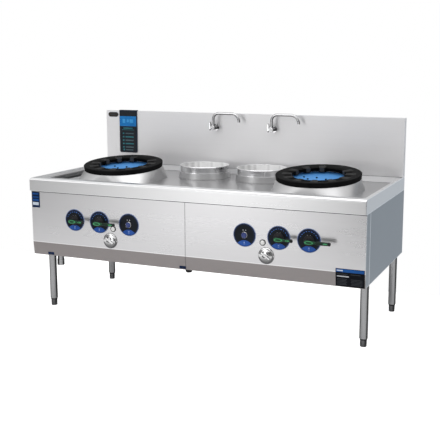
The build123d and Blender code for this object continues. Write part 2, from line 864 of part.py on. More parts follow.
for side, sign in sides:
    x = sign * wok_x
    with BuildPart() as fan_rotor:
        with BuildSketch(facing(x, fan_rear, fan_z)):
            Circle(fan_hub_radius)
        extrude(amount=fan_width)
        for blade in range(fan_blades):
            turn = math.radians(blade * 360 / fan_blades)
            outward = Vector(math.cos(turn), 0, math.sin(turn))
            around = Vector(-math.sin(turn), 0, math.cos(turn))
            blade_edge = around * math.cos(blade_lean) + Vector(0, math.sin(blade_lean), 0)
            root = Vector(x, fan_rear - fan_width / 2, fan_z) + outward * (fan_hub_radius - blade_thick)
            with BuildSketch(Plane(origin=root, x_dir=blade_edge, z_dir=outward)):
                Rectangle(blade_thick, blade_chord)
            extrude(amount=fan_radius - fan_hub_radius + blade_thick)
        with BuildSketch(facing(x, fan_rear, fan_z)):
            Circle(spindle_radius + running_gap)
        extrude(amount=fan_width, mode=Mode.SUBTRACT)
    save(fan_rotor, f"fan_rotor_{side}")

# ---- tail pots and their collars ----
lip_top = work_height + pot_rise
pot_low = deck_top - pot_depth
for side, sign in sides:
    x = sign * tail_x
    pot_axis = Axis((x, tail_y, 0), (0, 0, 1))
    with BuildPart() as tail_collar:
        with BuildSketch(facing(x, tail_y, 0)):
            with BuildLine():
                Polyline(
                    (pot_radius + tail_collar_gap, deck_top),
                    (tail_collar_base_radius, deck_top),
                    (tail_collar_base_radius, deck_top + tail_collar_foot),
                    (tail_collar_top_radius, work_height),
                    (pot_radius + tail_collar_gap, work_height),
                    close=True,
                )
            make_face()
        revolve(axis=pot_axis)
    save(tail_collar, f"tail_collar_{side}")

    with BuildPart() as tail_pot:
        with BuildSketch(facing(x, tail_y, 0)):
            with BuildLine():
                Polyline(
                    (0, pot_low),
                    (pot_radius - pot_base_bevel, pot_low),
                    (pot_radius, pot_low + pot_base_bevel),
                    (pot_radius, work_height),
                    (pot_radius + pot_shoulder, work_height),
                    (pot_radius + pot_shoulder, work_height + pot_shoulder_height),
                    (pot_radius, work_height + pot_shoulder_height),
                    (pot_radius, lip_top - pot_lip_height),
                    (pot_lip_radius, lip_top - pot_lip_height / 2),
                    (pot_lip_radius, lip_top),
                    (pot_radius - pot_wall, lip_top),
                    (pot_radius - pot_wall, pot_low + pot_base_bevel + pot_wall / 2),
                    (pot_radius - pot_base_bevel - pot_wall / 2, pot_low + pot_wall),
                    (0, pot_low + pot_wall),
                    close=True,
                )
            make_face()
        revolve(axis=pot_axis)
    save(tail_pot, f"tail_pot_{side}")

# ---- drain gutter, and the drain pipe under it ----
trough_low = top_low + top_sheet + gutter_floor_gap
with BuildPart() as gutter_trough:
    with BuildSketch(Plane.XY.offset(trough_low)):
        with Locations((gutter_x, recess_y)):
            Rectangle(gutter_width + 2 * panel_sheet, gutter_length + 2 * panel_sheet)
    extrude(amount=deck_low - trough_low)
    with BuildSketch(Plane.XY.offset(deck_low - panel_sheet)):
        with Locations((gutter_x, recess_y)):
            Rectangle(gutter_width + 2 * gutter_flange, gutter_length + 2 * gutter_flange)
    extrude(amount=panel_sheet)
    with BuildSketch(Plane.XY.offset(trough_low + panel_sheet)):
        with Locations((gutter_x, recess_y)):
            Rectangle(gutter_width, gutter_length)
    extrude(amount=deck_low - trough_low - panel_sheet, mode=Mode.SUBTRACT)
    with BuildSketch(Plane.XY.offset(trough_low)):
        with Locations((drain_x, drain_y)):
            Circle(drain_radius - drain_wall)
    extrude(amount=panel_sheet, mode=Mode.SUBTRACT)
save(gutter_trough, "gutter_trough")

with BuildPart() as drain_pipe:
    with BuildSketch(Plane.XY.offset(drain_end)):
        with Locations((drain_x, drain_y)):
            Circle(drain_radius)
    extrude(amount=trough_low - drain_end)
    with BuildSketch(Plane.XY.offset(drain_end)):
        with Locations((drain_x, drain_y)):
            Circle(drain_socket_radius)
    extrude(amount=drain_socket_length)
    with BuildSketch(Plane.XY.offset(drain_end)):
        with Locations((drain_x, drain_y)):
            Circle(drain_radius - drain_wall)
    extrude(amount=trough_low - drain_end, mode=Mode.SUBTRACT)
save(drain_pipe, "drain_pipe")

# ---- water supply: inlet, riser and the manifold behind the faucets ----
outlet_face = splash_face + panel_sheet + seam
with BuildPart() as supply_pipe:
    with BuildSketch(Plane.XY.offset(inlet_end)):
        with Locations((inlet_x, pipe_y)):
            Circle(pipe_radius)
    extrude(amount=faucet_z - inlet_end)
    with BuildSketch(Plane.XY.offset(inlet_end)):
        with Locations((inlet_x, pipe_y)):
            Circle(inlet_nipple_radius)
    extrude(amount=inlet_nipple_length)
    with BuildSketch(Plane.YZ.offset(-faucet_x - manifold_radius)):
        with Locations((pipe_y, faucet_z)):
            Circle(manifold_radius)
    extrude(amount=2 * (faucet_x + manifold_radius))
    with BuildSketch(facing(0, pipe_y, faucet_z)):
        with Locations((-faucet_x, 0), (faucet_x, 0)):
            Circle(faucet_stub_radius)
    extrude(amount=pipe_y - outlet_face)
    with BuildSketch(Plane.YZ.offset(-faucet_x)):
        with Locations((pipe_y, faucet_z)):
            Circle(manifold_bore)
    extrude(amount=2 * faucet_x, mode=Mode.SUBTRACT)
    with BuildSketch(Plane.XY.offset(inlet_end)):
        with Locations((inlet_x, pipe_y)):
            Circle(pipe_bore)
    extrude(amount=faucet_z - inlet_end, mode=Mode.SUBTRACT)
save(supply_pipe, "supply_pipe")

# ---- faucets ----
socket_floor = faucet_z + faucet_boss_height - spout_socket
spout_top = work_height + spout_rise
for side, sign in sides:
    x = sign * faucet_x
    with BuildPart() as faucet_body:
        with BuildSketch(facing(x, outlet_face, faucet_z)):
            Circle(faucet_stub_radius)
        extrude(amount=outlet_face - faucet_y)
        with BuildSketch(facing(x, splash_face, faucet_z)):
            Circle(faucet_flange_radius)
        extrude(amount=faucet_flange_thick)
        with BuildSketch(facing(x, splash_face, faucet_z)):
            Circle(faucet_body_radius)
        extrude(amount=faucet_body_length)
        chamfer(faucet_body.edges().filter_by(GeomType.CIRCLE).sort_by(Axis.Y)[0], faucet_edge)
        with BuildSketch(Plane.XY.offset(faucet_z)):
            with Locations((x, faucet_y)):
                Circle(spout_radius + faucet_boss_wall)
        extrude(amount=faucet_boss_height)
        with BuildSketch(Plane.XY.offset(socket_floor)):
            with Locations((x, faucet_y)):
                Circle(spout_radius + running_gap)
        extrude(amount=spout_socket, mode=Mode.SUBTRACT)
        with BuildSketch(Plane.YZ.offset(x - faucet_body_radius)):
            with Locations((faucet_y, faucet_z)):
                Circle(handle_pin_radius + running_gap)
        extrude(amount=handle_pin_length + seam, mode=Mode.SUBTRACT)
    save(faucet_body, f"faucet_body_{side}")

    handle_x = x - faucet_body_radius - handle_gap
    with BuildPart() as faucet_handle:
        with BuildSketch(Plane.YZ.offset(handle_x)):
            with Locations((faucet_y, faucet_z)):
                Circle(handle_hub_radius)
        extrude(amount=-handle_hub_length)
        with BuildSketch(Plane.YZ.offset(handle_x)):
            with Locations((faucet_y, faucet_z)):
                Circle(handle_pin_radius)
        extrude(amount=handle_pin_length + handle_gap)
        with BuildSketch(Plane.YZ.offset(handle_x - handle_hub_length)):
            with Locations((faucet_y, faucet_z + (handle_up - handle_down) / 2)):
                SlotOverall(handle_up + handle_down, handle_width, rotation=90)
        extrude(amount=-handle_thick)
    save(faucet_handle, f"faucet_handle_{side}")

    with BuildPart() as faucet_spout:
        with BuildLine():
            FilletPolyline(
                (x, faucet_y, socket_floor + seam),
                (x, faucet_y, spout_top),
                (x + spout_reach, faucet_y, spout_top),
                (x + spout_reach, faucet_y, spout_top - spout_drop),
                radius=[spout_bend, spout_end_bend],
            )
        with BuildSketch(Plane(origin=(x, faucet_y, socket_floor + seam), z_dir=(0, 0, 1))):
            Circle(spout_radius)
            Circle(spout_bore, mode=Mode.SUBTRACT)
        sweep()
    save(faucet_spout, f"faucet_spout_{side}")

# ---- cable gland in the tray ----
with BuildPart() as cable_gland:
    with BuildSketch(facing(gland_x, gland_y, 0)):
        with BuildLine():
            Polyline(
                (gland_bore, tray_low - gland_below),
                (gland_radius - gland_nut_bevel, tray_low - gland_below),
                (gland_radius, tray_low - gland_below + gland_nut_height),
                (gland_radius, tray_low),
                (gland_neck_radius, tray_low),
                (gland_neck_radius, tray_top),
                (gland_radius, tray_top),
                (gland_radius, tray_top + gland_above),
                (gland_bore, tray_top + gland_above),
                close=True,
            )
        make_face()
    revolve(axis=Axis((gland_x, gland_y, 0), (0, 0, 1)))
save(cable_gland, "cable_gland")

# ---- status display, hooked over the backsplash ----
display_x = -half + display_inset + display_width / 2
splash_top = work_height + splash_height
display_top = splash_top + display_hook
display_z = display_top - display_height / 2
screen_width = display_width - 2 * display_border
screen_height = display_height - 2 * display_border - display_hook
screen_z = display_z - display_hook / 2
with BuildPart() as display_housing:
    with BuildSketch(facing(display_x, splash_face, display_z)):
        Rectangle(display_width, display_height)
    extrude(amount=display_thick)
    fillet(display_housing.edges().filter_by(Axis.Y).group_by(Axis.Z)[0], display_corner)
    with BuildSketch(Plane.XY.offset(splash_top)):
        with Locations((display_x, splash_face + shell_depth / 4)):
            Rectangle(display_width, shell_depth / 2)
    extrude(amount=display_hook)
    with BuildSketch(facing(display_x, splash_face - display_thick + screen_thick, screen_z)):
        RectangleRounded(screen_width, screen_height, display_corner / 2)
    extrude(amount=screen_thick, mode=Mode.SUBTRACT)
save(display_housing, "display_housing")

with BuildPart() as display_screen:
    with BuildSketch(facing(display_x, splash_face - display_thick + screen_thick, screen_z)):
        RectangleRounded(screen_width - seam, screen_height - seam, display_corner / 2)
    extrude(amount=screen_thick + screen_proud)
save(display_screen, "display_screen")

# ---- round control plates ----
with BuildPart() as control_plates:
    for side, sign in sides:
        with BuildSketch(facing(0, panel_face, 0)):
            with Locations(*[(sign * (half - inset), plate_z) for inset in plate_insets]):
                Circle(plate_radius)
            with Locations(*[(sign * (half - inset), plate_z) for inset in plate_insets[:2]]):
                Circle(shaft_radius + running_gap, mode=Mode.SUBTRACT)
            with Locations((sign * (half - plate_insets[2]), plate_z)):
                Circle(push_body_radius + running_gap, mode=Mode.SUBTRACT)
        extrude(amount=plate_thick)
save(control_plates, "control_plates")

# ---- levers and the rotary switches that they turn ----
lever_back = plate_face - lever_gap
arm_back = front - lever_reach + lever_arm_thick
shaft_end = panel_back + shaft_in_switch
levers = (
    ("left_outer", -(half - plate_insets[0]), lever_short),
    ("left_inner", -(half - plate_insets[1]), lever_long),
    ("right_inner", half - plate_insets[1], lever_short),
    ("right_outer", half - plate_insets[0], lever_long),
)
for place, x, reach in levers:
    with BuildPart() as lever:
        with BuildSketch(facing(x, lever_back, plate_z)):
            Circle(lever_hub_radius)
        extrude(amount=lever_hub_thick)
        with BuildSketch(facing(x, lever_back, plate_z)):
            Circle(lever_boss_radius)
        extrude(amount=lever_back - arm_back)
        with BuildSketch(facing(x, arm_back, plate_z)):
            Circle(lever_head_radius)
            with Locations((reach - lever_grip_radius, 0)):
                Circle(lever_grip_radius)
            Polygon(
                (0, lever_head_radius),
                (0, -lever_head_radius),
                (lever_waist_at, -lever_waist),
                (lever_waist_at, lever_waist),
                align=None,
            )
            Polygon(
                (lever_waist_at, lever_waist),
                (lever_waist_at, -lever_waist),
                (lever_waist_at + lever_grip_radius, -lever_grip_radius),
                (reach - lever_grip_radius, -lever_grip_radius),
                (reach - lever_grip_radius, lever_grip_radius),
                (lever_waist_at + lever_grip_radius, lever_grip_radius),
                align=None,
            )
        extrude(amount=lever_arm_thick)
        with BuildSketch(facing(x, front - lever_reach + lever_screw_depth, plate_z)):
            Circle(lever_screw_radius)
        extrude(amount=lever_screw_depth, mode=Mode.SUBTRACT)
        with BuildSketch(facing(x, shaft_end, plate_z)):
            Circle(shaft_radius)
        extrude(amount=shaft_end - lever_back)
    save(lever, f"lever_{place}")

with BuildPart() as rotary_switches:
    for place, x, reach in levers:
        with BuildSketch(facing(x, panel_back + switch_box_depth, plate_z)):
            Rectangle(switch_box, switch_box)
        extrude(amount=switch_box_depth)
        with BuildSketch(facing(x, shaft_end + seam, plate_z)):
            Circle(shaft_radius + running_gap)
        extrude(amount=shaft_end + seam - panel_back, mode=Mode.SUBTRACT)
save(rotary_switches, "rotary_switches")

# ---- push switches: fixed bodies with bezels, and the buttons ----
button_face = plate_face - bezel_thick - button_proud
button_back = plate_face - button_travel - button_gap
with BuildPart() as push_switches:
    for side, sign in sides:
        x = sign * (half - plate_insets[2])
        with BuildSketch(facing(x, plate_face, plate_z)):
            Circle(bezel_radius)
            Circle(button_radius + button_gap, mode=Mode.SUBTRACT)
        extrude(amount=bezel_thick)
        with BuildSketch(facing(x, plate_face + push_body_length, plate_z)):
            Circle(push_body_radius)
        extrude(amount=push_body_length)
        with BuildSketch(facing(x, plate_face, plate_z)):
            Circle(bezel_radius)
            Circle(push_body_radius - panel_sheet, mode=Mode.SUBTRACT)
        extrude(amount=button_gap)
        with BuildSketch(facing(x, button_back + button_travel + button_stem_length + seam, plate_z)):
            Circle(button_stem_radius + running_gap)
        extrude(amount=button_travel + button_stem_length + seam, mode=Mode.SUBTRACT)
save(push_switches, "push_switches")

for side, sign in sides:
    x = sign * (half - plate_insets[2])
    with BuildPart() as button:
        with BuildSketch(facing(x, button_back, plate_z)):
            Circle(button_radius)
        extrude(amount=button_back - button_face)
        with BuildSketch(facing(x, button_back + button_stem_length, plate_z)):
            Circle(button_stem_radius)
        extrude(amount=button_stem_length)
        fillet(button.edges().filter_by(GeomType.CIRCLE).sort_by(Axis.Y)[0], button_edge)
    save(button, f"button_{side}")

# ---- indicator lamps ----
with BuildPart() as indicator_lamps:
    for side, sign in sides:
        x = sign * (half - lamp_inset)
        with BuildSketch(facing(x, panel_face, lamp_z)):
            Circle(lamp_radius)
        extrude(amount=lamp_thick)
        with BuildSketch(facing(x, panel_face - lamp_thick, lamp_z)):
            Circle(lamp_lens_radius)
        extrude(amount=lamp_lens_rise, taper=lamp_lens_taper)
        with BuildSketch(facing(x, panel_face + lamp_body_length, lamp_z)):
            Circle(lamp_body_radius)
        extrude(amount=lamp_body_length)
save(indicator_lamps, "indicator_lamps")

# ---- water valves behind the front panels, and their knobs ----
knob_back = panel_face - lever_gap
knob_shaft_end = panel_back + knob_shaft_in_valve
with BuildPart() as water_valves:
    for side, sign in sides:
        x = sign * (half - knob_inset)
        with BuildSketch(facing(x, panel_back + valve_length, knob_z)):
            Circle(valve_radius)
        extrude(amount=valve_length)
        with BuildSketch(facing(x, knob_shaft_end + seam, knob_z)):
            Circle(knob_shaft_radius + running_gap)
        extrude(amount=knob_shaft_end + seam - panel_back, mode=Mode.SUBTRACT)
save(water_valves, "water_valves")

for side, sign in sides:
    x = sign * (half - knob_inset)
    bar_plane = facing(x, knob_back - knob_skirt, knob_z)
    with BuildPart() as valve_knob:
        with BuildSketch(facing(x, knob_back, knob_z)):
            Circle(knob_radius)
        extrude(amount=knob_skirt)
        fillet(valve_knob.edges().filter_by(GeomType.CIRCLE).sort_by(Axis.Y)[0], knob_skirt_round)
        with BuildSketch(facing(x, knob_back, knob_z)):
            Circle(knob_hub_radius)
        extrude(amount=knob_hub_length)
        with BuildSketch(facing(x, knob_back - knob_hub_length + knob_bar_thick, knob_z)):
            with Locations(Location((0, 0, 0), (0, 0, knob_bar_angle))):
                SlotOverall(knob_bar_length, knob_bar_width)
        extrude(amount=knob_bar_thick)
        with BuildSketch(facing(x, knob_shaft_end, knob_z)):
            Circle(knob_shaft_radius)
        extrude(amount=knob_shaft_end - knob_back)
    save(valve_knob, f"valve_knob_{side}")
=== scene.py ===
import bpy
import json
import math
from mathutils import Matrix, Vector


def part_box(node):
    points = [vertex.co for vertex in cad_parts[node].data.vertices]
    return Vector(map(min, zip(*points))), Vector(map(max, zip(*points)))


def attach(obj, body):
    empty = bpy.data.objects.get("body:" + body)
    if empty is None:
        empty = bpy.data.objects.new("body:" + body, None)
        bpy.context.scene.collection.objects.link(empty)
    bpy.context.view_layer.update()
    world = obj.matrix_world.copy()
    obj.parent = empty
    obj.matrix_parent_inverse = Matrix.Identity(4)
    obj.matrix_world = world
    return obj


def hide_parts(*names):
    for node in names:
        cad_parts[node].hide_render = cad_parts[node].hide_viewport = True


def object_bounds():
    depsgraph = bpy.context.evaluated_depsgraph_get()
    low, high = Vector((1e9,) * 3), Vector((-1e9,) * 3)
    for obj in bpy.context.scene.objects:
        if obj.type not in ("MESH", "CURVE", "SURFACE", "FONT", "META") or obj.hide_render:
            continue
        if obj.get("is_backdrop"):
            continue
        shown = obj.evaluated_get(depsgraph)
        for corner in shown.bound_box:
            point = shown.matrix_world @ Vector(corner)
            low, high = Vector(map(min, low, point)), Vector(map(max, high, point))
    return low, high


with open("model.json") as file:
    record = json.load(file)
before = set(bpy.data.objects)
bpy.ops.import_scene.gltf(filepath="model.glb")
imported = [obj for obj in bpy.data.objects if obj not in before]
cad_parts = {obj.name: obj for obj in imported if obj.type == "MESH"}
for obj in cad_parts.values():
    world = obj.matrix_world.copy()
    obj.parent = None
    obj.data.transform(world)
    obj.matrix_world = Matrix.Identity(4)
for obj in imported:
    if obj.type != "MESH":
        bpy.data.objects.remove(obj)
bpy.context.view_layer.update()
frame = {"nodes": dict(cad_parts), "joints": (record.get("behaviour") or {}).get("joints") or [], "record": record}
nodes = frame["nodes"]
record = frame["record"]
sides = ("left", "right")
print("frame loaded:", len(nodes), "nodes")


def deselectAll():
    if bpy.context.object and bpy.context.object.mode != "OBJECT":
        bpy.ops.object.mode_set(mode="OBJECT")
    bpy.ops.object.select_all(action="DESELECT")


def makeActive(piece):
    deselectAll()
    piece.select_set(True)
    bpy.context.view_layer.objects.active = piece


deselectAll()


def newMaterial(name):
    material = bpy.data.materials.new(name)
    material.use_nodes = True
    shader = material.node_tree.nodes["Principled BSDF"]
    return material, material.node_tree, shader


def noiseAt(tree, scale, detail=3.0, rough=0.5, stretch=(1, 1, 1)):
    place = tree.nodes.new("ShaderNodeTexCoord")
    mapping = tree.nodes.new("ShaderNodeMapping")
    mapping.inputs["Scale"].default_value = stretch
    noise = tree.nodes.new("ShaderNodeTexNoise")
    noise.inputs["Scale"].default_value = scale
    noise.inputs["Detail"].default_value = detail
    noise.inputs["Roughness"].default_value = rough
    tree.links.new(place.outputs["Object"], mapping.inputs["Vector"])
    tree.links.new(mapping.outputs["Vector"], noise.inputs["Vector"])
    return noise.outputs["Fac"]


def rampOf(tree, value, stops):
    ramp = tree.nodes.new("ShaderNodeValToRGB")
    points = ramp.color_ramp.elements
    while len(points) < len(stops):
        points.new(0.5)
    for point, (at, colour) in zip(points, stops):
        point.position = at
        point.color = (*colour, 1)
    tree.links.new(value, ramp.inputs["Fac"])
    return ramp.outputs["Color"]


def rangeOf(tree, value, low, high, outLow, outHigh):
    mapped = tree.nodes.new("ShaderNodeMapRange")
    mapped.inputs["From Min"].default_value = low
    mapped.inputs["From Max"].default_value = high
    mapped.inputs["To Min"].default_value = outLow
    mapped.inputs["To Max"].default_value = outHigh
    tree.links.new(value, mapped.inputs["Value"])
    return mapped.outputs["Result"]


def mathOf(tree, kind, first, second):
    node = tree.nodes.new("ShaderNodeMath")
    node.operation = kind
    for socket, value in zip(node.inputs, (first, second)):
        if isinstance(value, (int, float)):
            socket.default_value = value
        else:
            tree.links.new(value, socket)
    return node.outputs["Value"]


def mixOf(tree, factor, first, second, blend="MIX"):
    mix = tree.nodes.new("ShaderNodeMix")
    mix.data_type = "RGBA"
    mix.blend_type = blend
    for socket, value in ((mix.inputs["Factor"], factor), (mix.inputs[6], first), (mix.inputs[7], second)):
        if isinstance(value, (int, float)):
            socket.default_value = value
        elif isinstance(value, tuple):
            socket.default_value = (*value, 1)
        else:
            tree.links.new(value, socket)
    return mix.outputs[2]


def bumpOf(tree, shader, height, strength, distance):
    bump = tree.nodes.new("ShaderNodeBump")
    bump.inputs["Strength"].default_value = strength
    bump.inputs["Distance"].default_value = distance
    tree.links.new(height, bump.inputs["Height"])
    tree.links.new(bump.outputs["Normal"], shader.inputs["Normal"])


def axesOf(tree, output):  # x, y and z of a place ("Object") or of the way a surface faces ("Normal")
    place = tree.nodes.new("ShaderNodeTexCoord")
    split = tree.nodes.new("ShaderNodeSeparateXYZ")
    tree.links.new(place.outputs[output], split.inputs["Vector"])
    return split.outputs


def shaderOf(material):
    return material.node_tree.nodes["Principled BSDF"]


def overBase(tree, shader, factor, tone, blend="MIX"):  # lays a tone over the base colour made so far
    plain = shader.inputs["Base Color"].links[0].from_socket
    tree.links.new(mixOf(tree, factor, plain, tone, blend), shader.inputs["Base Color"])


# grain of the steels: noise scales per metre, and the share of each noise in tone and gloss
steelGrain = {
    "fineScale": 320, "streakScale": 45, "cloudScale": 2.3, "spotScale": 14.0,
    "fineShare": 0.35, "streakShare": 0.35, "cloudShare": 0.3, "spotShare": 0.4, "toneRange": (0.32, 0.68),
    "bump": 0.2, "bumpHeight": 0.0003,
}


def brushedSteel(name, dark, light, roughLow, roughHigh, stretch, grain=1.0, smudge=0.5):
    material, tree, shader = newMaterial(name)
    shader.inputs["Metallic"].default_value = 1.0
    fine = noiseAt(tree, 1.0, 4, 0.65, tuple(s * steelGrain["fineScale"] for s in stretch))
    streak = noiseAt(tree, 1.0, 3, 0.55, tuple(s * steelGrain["streakScale"] for s in stretch))
    cloud = noiseAt(tree, steelGrain["cloudScale"], 3, 0.5)
    spots = noiseAt(tree, steelGrain["spotScale"], 4, 0.6)
    fineTone = mathOf(tree, "MULTIPLY", fine, steelGrain["fineShare"])
    streakTone = mathOf(tree, "MULTIPLY", streak, steelGrain["streakShare"])
    blend = mathOf(tree, "ADD", fineTone, streakTone)
    blend = mathOf(tree, "ADD", blend, mathOf(tree, "MULTIPLY", cloud, steelGrain["cloudShare"]))
    low, high = steelGrain["toneRange"]
    tree.links.new(rampOf(tree, blend, ((low, dark), (high, light))), shader.inputs["Base Color"])
    spotShare = smudge * steelGrain["spotShare"]
    wear = mathOf(tree, "ADD", mathOf(tree, "MULTIPLY", streak, 0.5), mathOf(tree, "MULTIPLY", cloud, 0.5))
    spotWear = mathOf(tree, "MULTIPLY", spots, spotShare)
    wear = mathOf(tree, "ADD", mathOf(tree, "MULTIPLY", wear, 1 - spotShare), spotWear)
    tree.links.new(rangeOf(tree, wear, 0.3, 0.7, roughLow, roughHigh), shader.inputs["Roughness"])
    bumpOf(tree, shader, fine, steelGrain["bump"] * grain, steelGrain["bumpHeight"])
    return material


# the band under a fold gets a painted darker, warmer tone that stands in for its dimmer reflection, and is a
# little rougher; a painted highlight line runs along the fold
def paintedKickShade(material, bend, shadeTint, line):
    tree = material.node_tree
    shader = shaderOf(material)
    height = axesOf(tree, "Object")["Z"]
    plain = shader.inputs["Base Color"].links[0].from_socket
    under = rangeOf(tree, height, bend - 0.0008, bend + 0.0002, 1.0, 0.0)
    paintedDim = mixOf(tree, 1.0, plain, shadeTint, "MULTIPLY")
    # painted highlight: a light line just above the fold
    belowHighlightTop = rangeOf(tree, height, bend + line, bend + line + 0.0015, 1.0, 0.0)
    edge = mathOf(tree, "MULTIPLY", mathOf(tree, "SUBTRACT", belowHighlightTop, under), 0.6)
    shadedBand = mixOf(tree, under, plain, paintedDim)
    tree.links.new(mixOf(tree, edge, shadedBand, (0.95, 0.95, 0.95)), shader.inputs["Base Color"])
    rough = shader.inputs["Roughness"].links[0].from_socket
    rougher = mathOf(tree, "ADD", rough, mathOf(tree, "MULTIPLY", under, 0.12))
    tree.links.new(rougher, shader.inputs["Roughness"])


def paintedHighlightLines(material, lines, tone=(0.95, 0.96, 0.97)):  # painted highlight lines along folds and edges; each line: axis, place and width in metres
    tree = material.node_tree
    place = axesOf(tree, "Object")
    for axis, at, wide in lines:
        away = mathOf(tree, "ABSOLUTE", mathOf(tree, "SUBTRACT", place[axis], at), 0)
        inside = rangeOf(tree, away, wide * 0.35, wide * 0.65, 0.85, 0.0)
        overBase(tree, shaderOf(material), inside, tone)


def greyStops(stops):
    return [(at, (tone, tone, tone)) for at, tone in stops]


# painted reflection bands on round metal: each stop is the way a surface faces, in degrees from the cook's side,
# and a tone; the bands turn a little with x, as reflections do
def paintedReflectionBands(material, stops, turnPerMetre=11.0):
    tree = material.node_tree
    facing = axesOf(tree, "Normal")
    place = axesOf(tree, "Object")
    angle = mathOf(tree, "ARCTAN2", facing["X"], mathOf(tree, "MULTIPLY", facing["Y"], -1.0))
    angle = mathOf(tree, "ADD", angle, mathOf(tree, "MULTIPLY", place["X"], math.radians(turnPerMetre)))
    around = rangeOf(tree, angle, -math.pi, math.pi, 0.0, 1.0)
    bands = rampOf(tree, around, greyStops([(0.5 + degrees / 360, tone) for degrees, tone in stops]))
    upright = rangeOf(tree, mathOf(tree, "ABSOLUTE", facing["Z"], 0), 0.25, 0.55, 1.0, 0.0)
    overBase(tree, shaderOf(material), upright, bands, "MULTIPLY")


def paintedShadeByFacing(material, stops):  # painted light and shade by how far a surface faces up, 0 for down and 1 for up
    tree = material.node_tree
    facing = axesOf(tree, "Normal")
    bands = rampOf(tree, rangeOf(tree, facing["Z"], -1.0, 1.0, 0.0, 1.0), greyStops(stops))
    overBase(tree, shaderOf(material), 1.0, bands, "MULTIPLY")


# the way the grain runs: noise is stretched along one axis
alongX = (0.012, 1, 1)
alongY = (1, 0.012, 1)
alongZ = (1, 1, 0.012)
sheetSteel = brushedSteel("brushedSheet", (0.66, 0.66, 0.665), (0.70, 0.70, 0.705), 0.27, 0.31,
                          alongX, 0.1, 0.1)
panelSteel = brushedSteel("brushedPanel", (0.62, 0.615, 0.625), (0.65, 0.645, 0.655), 0.26, 0.30,
                          alongX, 0.1, 0.1)
splashSteel = brushedSteel("brushedSplash", (0.80, 0.795, 0.805), (0.83, 0.825, 0.835), 0.42, 0.46,
                           alongX, 0.1, 0.1)
shaderOf(splashSteel).inputs["Metallic"].default_value = 0.7
# the side panels and corner posts get a darker, blue-grey steel: painted reflection of a cool, dim surround
sideReflectionSteel = brushedSteel("brushedSide", (0.255, 0.280, 0.306), (0.305, 0.336, 0.366), 0.32, 0.38,
                         alongY, 0.1, 0.1)
deckSteel = brushedSteel("brushedDeck", (0.45, 0.45, 0.455), (0.52, 0.52, 0.525), 0.26, 0.36,
                         alongX, 0.6, 0.3)
tubeSteel = brushedSteel("brushedTube", (0.34, 0.34, 0.345), (0.42, 0.42, 0.43), 0.16, 0.24, alongZ, 0.6, 0.3)
polishedSteel = brushedSteel("polishedSteel", (0.62, 0.62, 0.63), (0.72, 0.72, 0.73), 0.12, 0.20,
                             alongX, 0.4, 0.3)
collarSteel = brushedSteel("collarSteel", (0.53, 0.53, 0.535), (0.60, 0.60, 0.605), 0.36, 0.46,
                           alongX, 0.5, 0.3)
potSteel = brushedSteel("potSteel", (0.84, 0.84, 0.85), (0.93, 0.93, 0.94), 0.06, 0.14, alongZ, 0.3, 0.3)
potInside = brushedSteel("potInside", (0.90, 0.90, 0.90), (0.96, 0.96, 0.96), 0.30, 0.42, alongZ, 0.3, 0.3)
shaderOf(potInside).inputs["Metallic"].default_value = 0.2
footSteel = brushedSteel("footSteel", (0.14, 0.14, 0.145), (0.20, 0.20, 0.205), 0.30, 0.40, alongZ, 0.5, 0.3)
# a lighter steel for the strips on the recess walls: painted light where light falls on those walls
upstandSteel = brushedSteel("upstandSteel", (0.84, 0.84, 0.85), (0.90, 0.90, 0.91), 0.40, 0.46,
                            alongX, 0.5, 0.2)
shaderOf(upstandSteel).inputs["Metallic"].default_value = 0.3
# a darker copy of the steel for the gutter: painted shade inside the trough
troughSteel = brushedSteel("troughSteel", (0.30, 0.30, 0.305), (0.38, 0.38, 0.385), 0.30, 0.40,
                           alongY, 0.5, 0.3)
tapChrome = brushedSteel("tapChrome", (0.58, 0.58, 0.59), (0.66, 0.66, 0.67), 0.10, 0.16,
                         (1, 1, 1), 0.15, 0.3)
innerSteel = brushedSteel("galvanised", (0.35, 0.36, 0.37), (0.55, 0.56, 0.57), 0.35, 0.55,
                          (1, 1, 1), 0.6, 0.8)
chromeFinish = brushedSteel("chromePlate", (0.60, 0.60, 0.61), (0.70, 0.70, 0.71), 0.05, 0.11,
                            (1, 1, 1), 0.15, 0.3)
copperWire = brushedSteel("enamelledCopper", (0.50, 0.20, 0.09), (0.75, 0.36, 0.17), 0.25, 0.4, alongX)
kickBend = 0.421  # height of the fold that runs across both front panels
# painted shade on the kick band of the front panels, and a painted highlight along its fold
paintedKickShade(panelSteel, kickBend, (0.46, 0.43, 0.42), 0.003)
# painted highlights along the worktop's front edge and lower fold, and along the side panels' folds and front
# edges
paintedHighlightLines(sheetSteel, (("Z", 0.7985, 0.0030), ("Z", 0.7262, 0.0018)))
paintedHighlightLines(sideReflectionSteel, (("Z", 0.7232, 0.0024), ("Z", 0.3462, 0.0020), ("Y", -0.3345, 0.0080),
                     ("Y", -0.4120, 0.0060)))
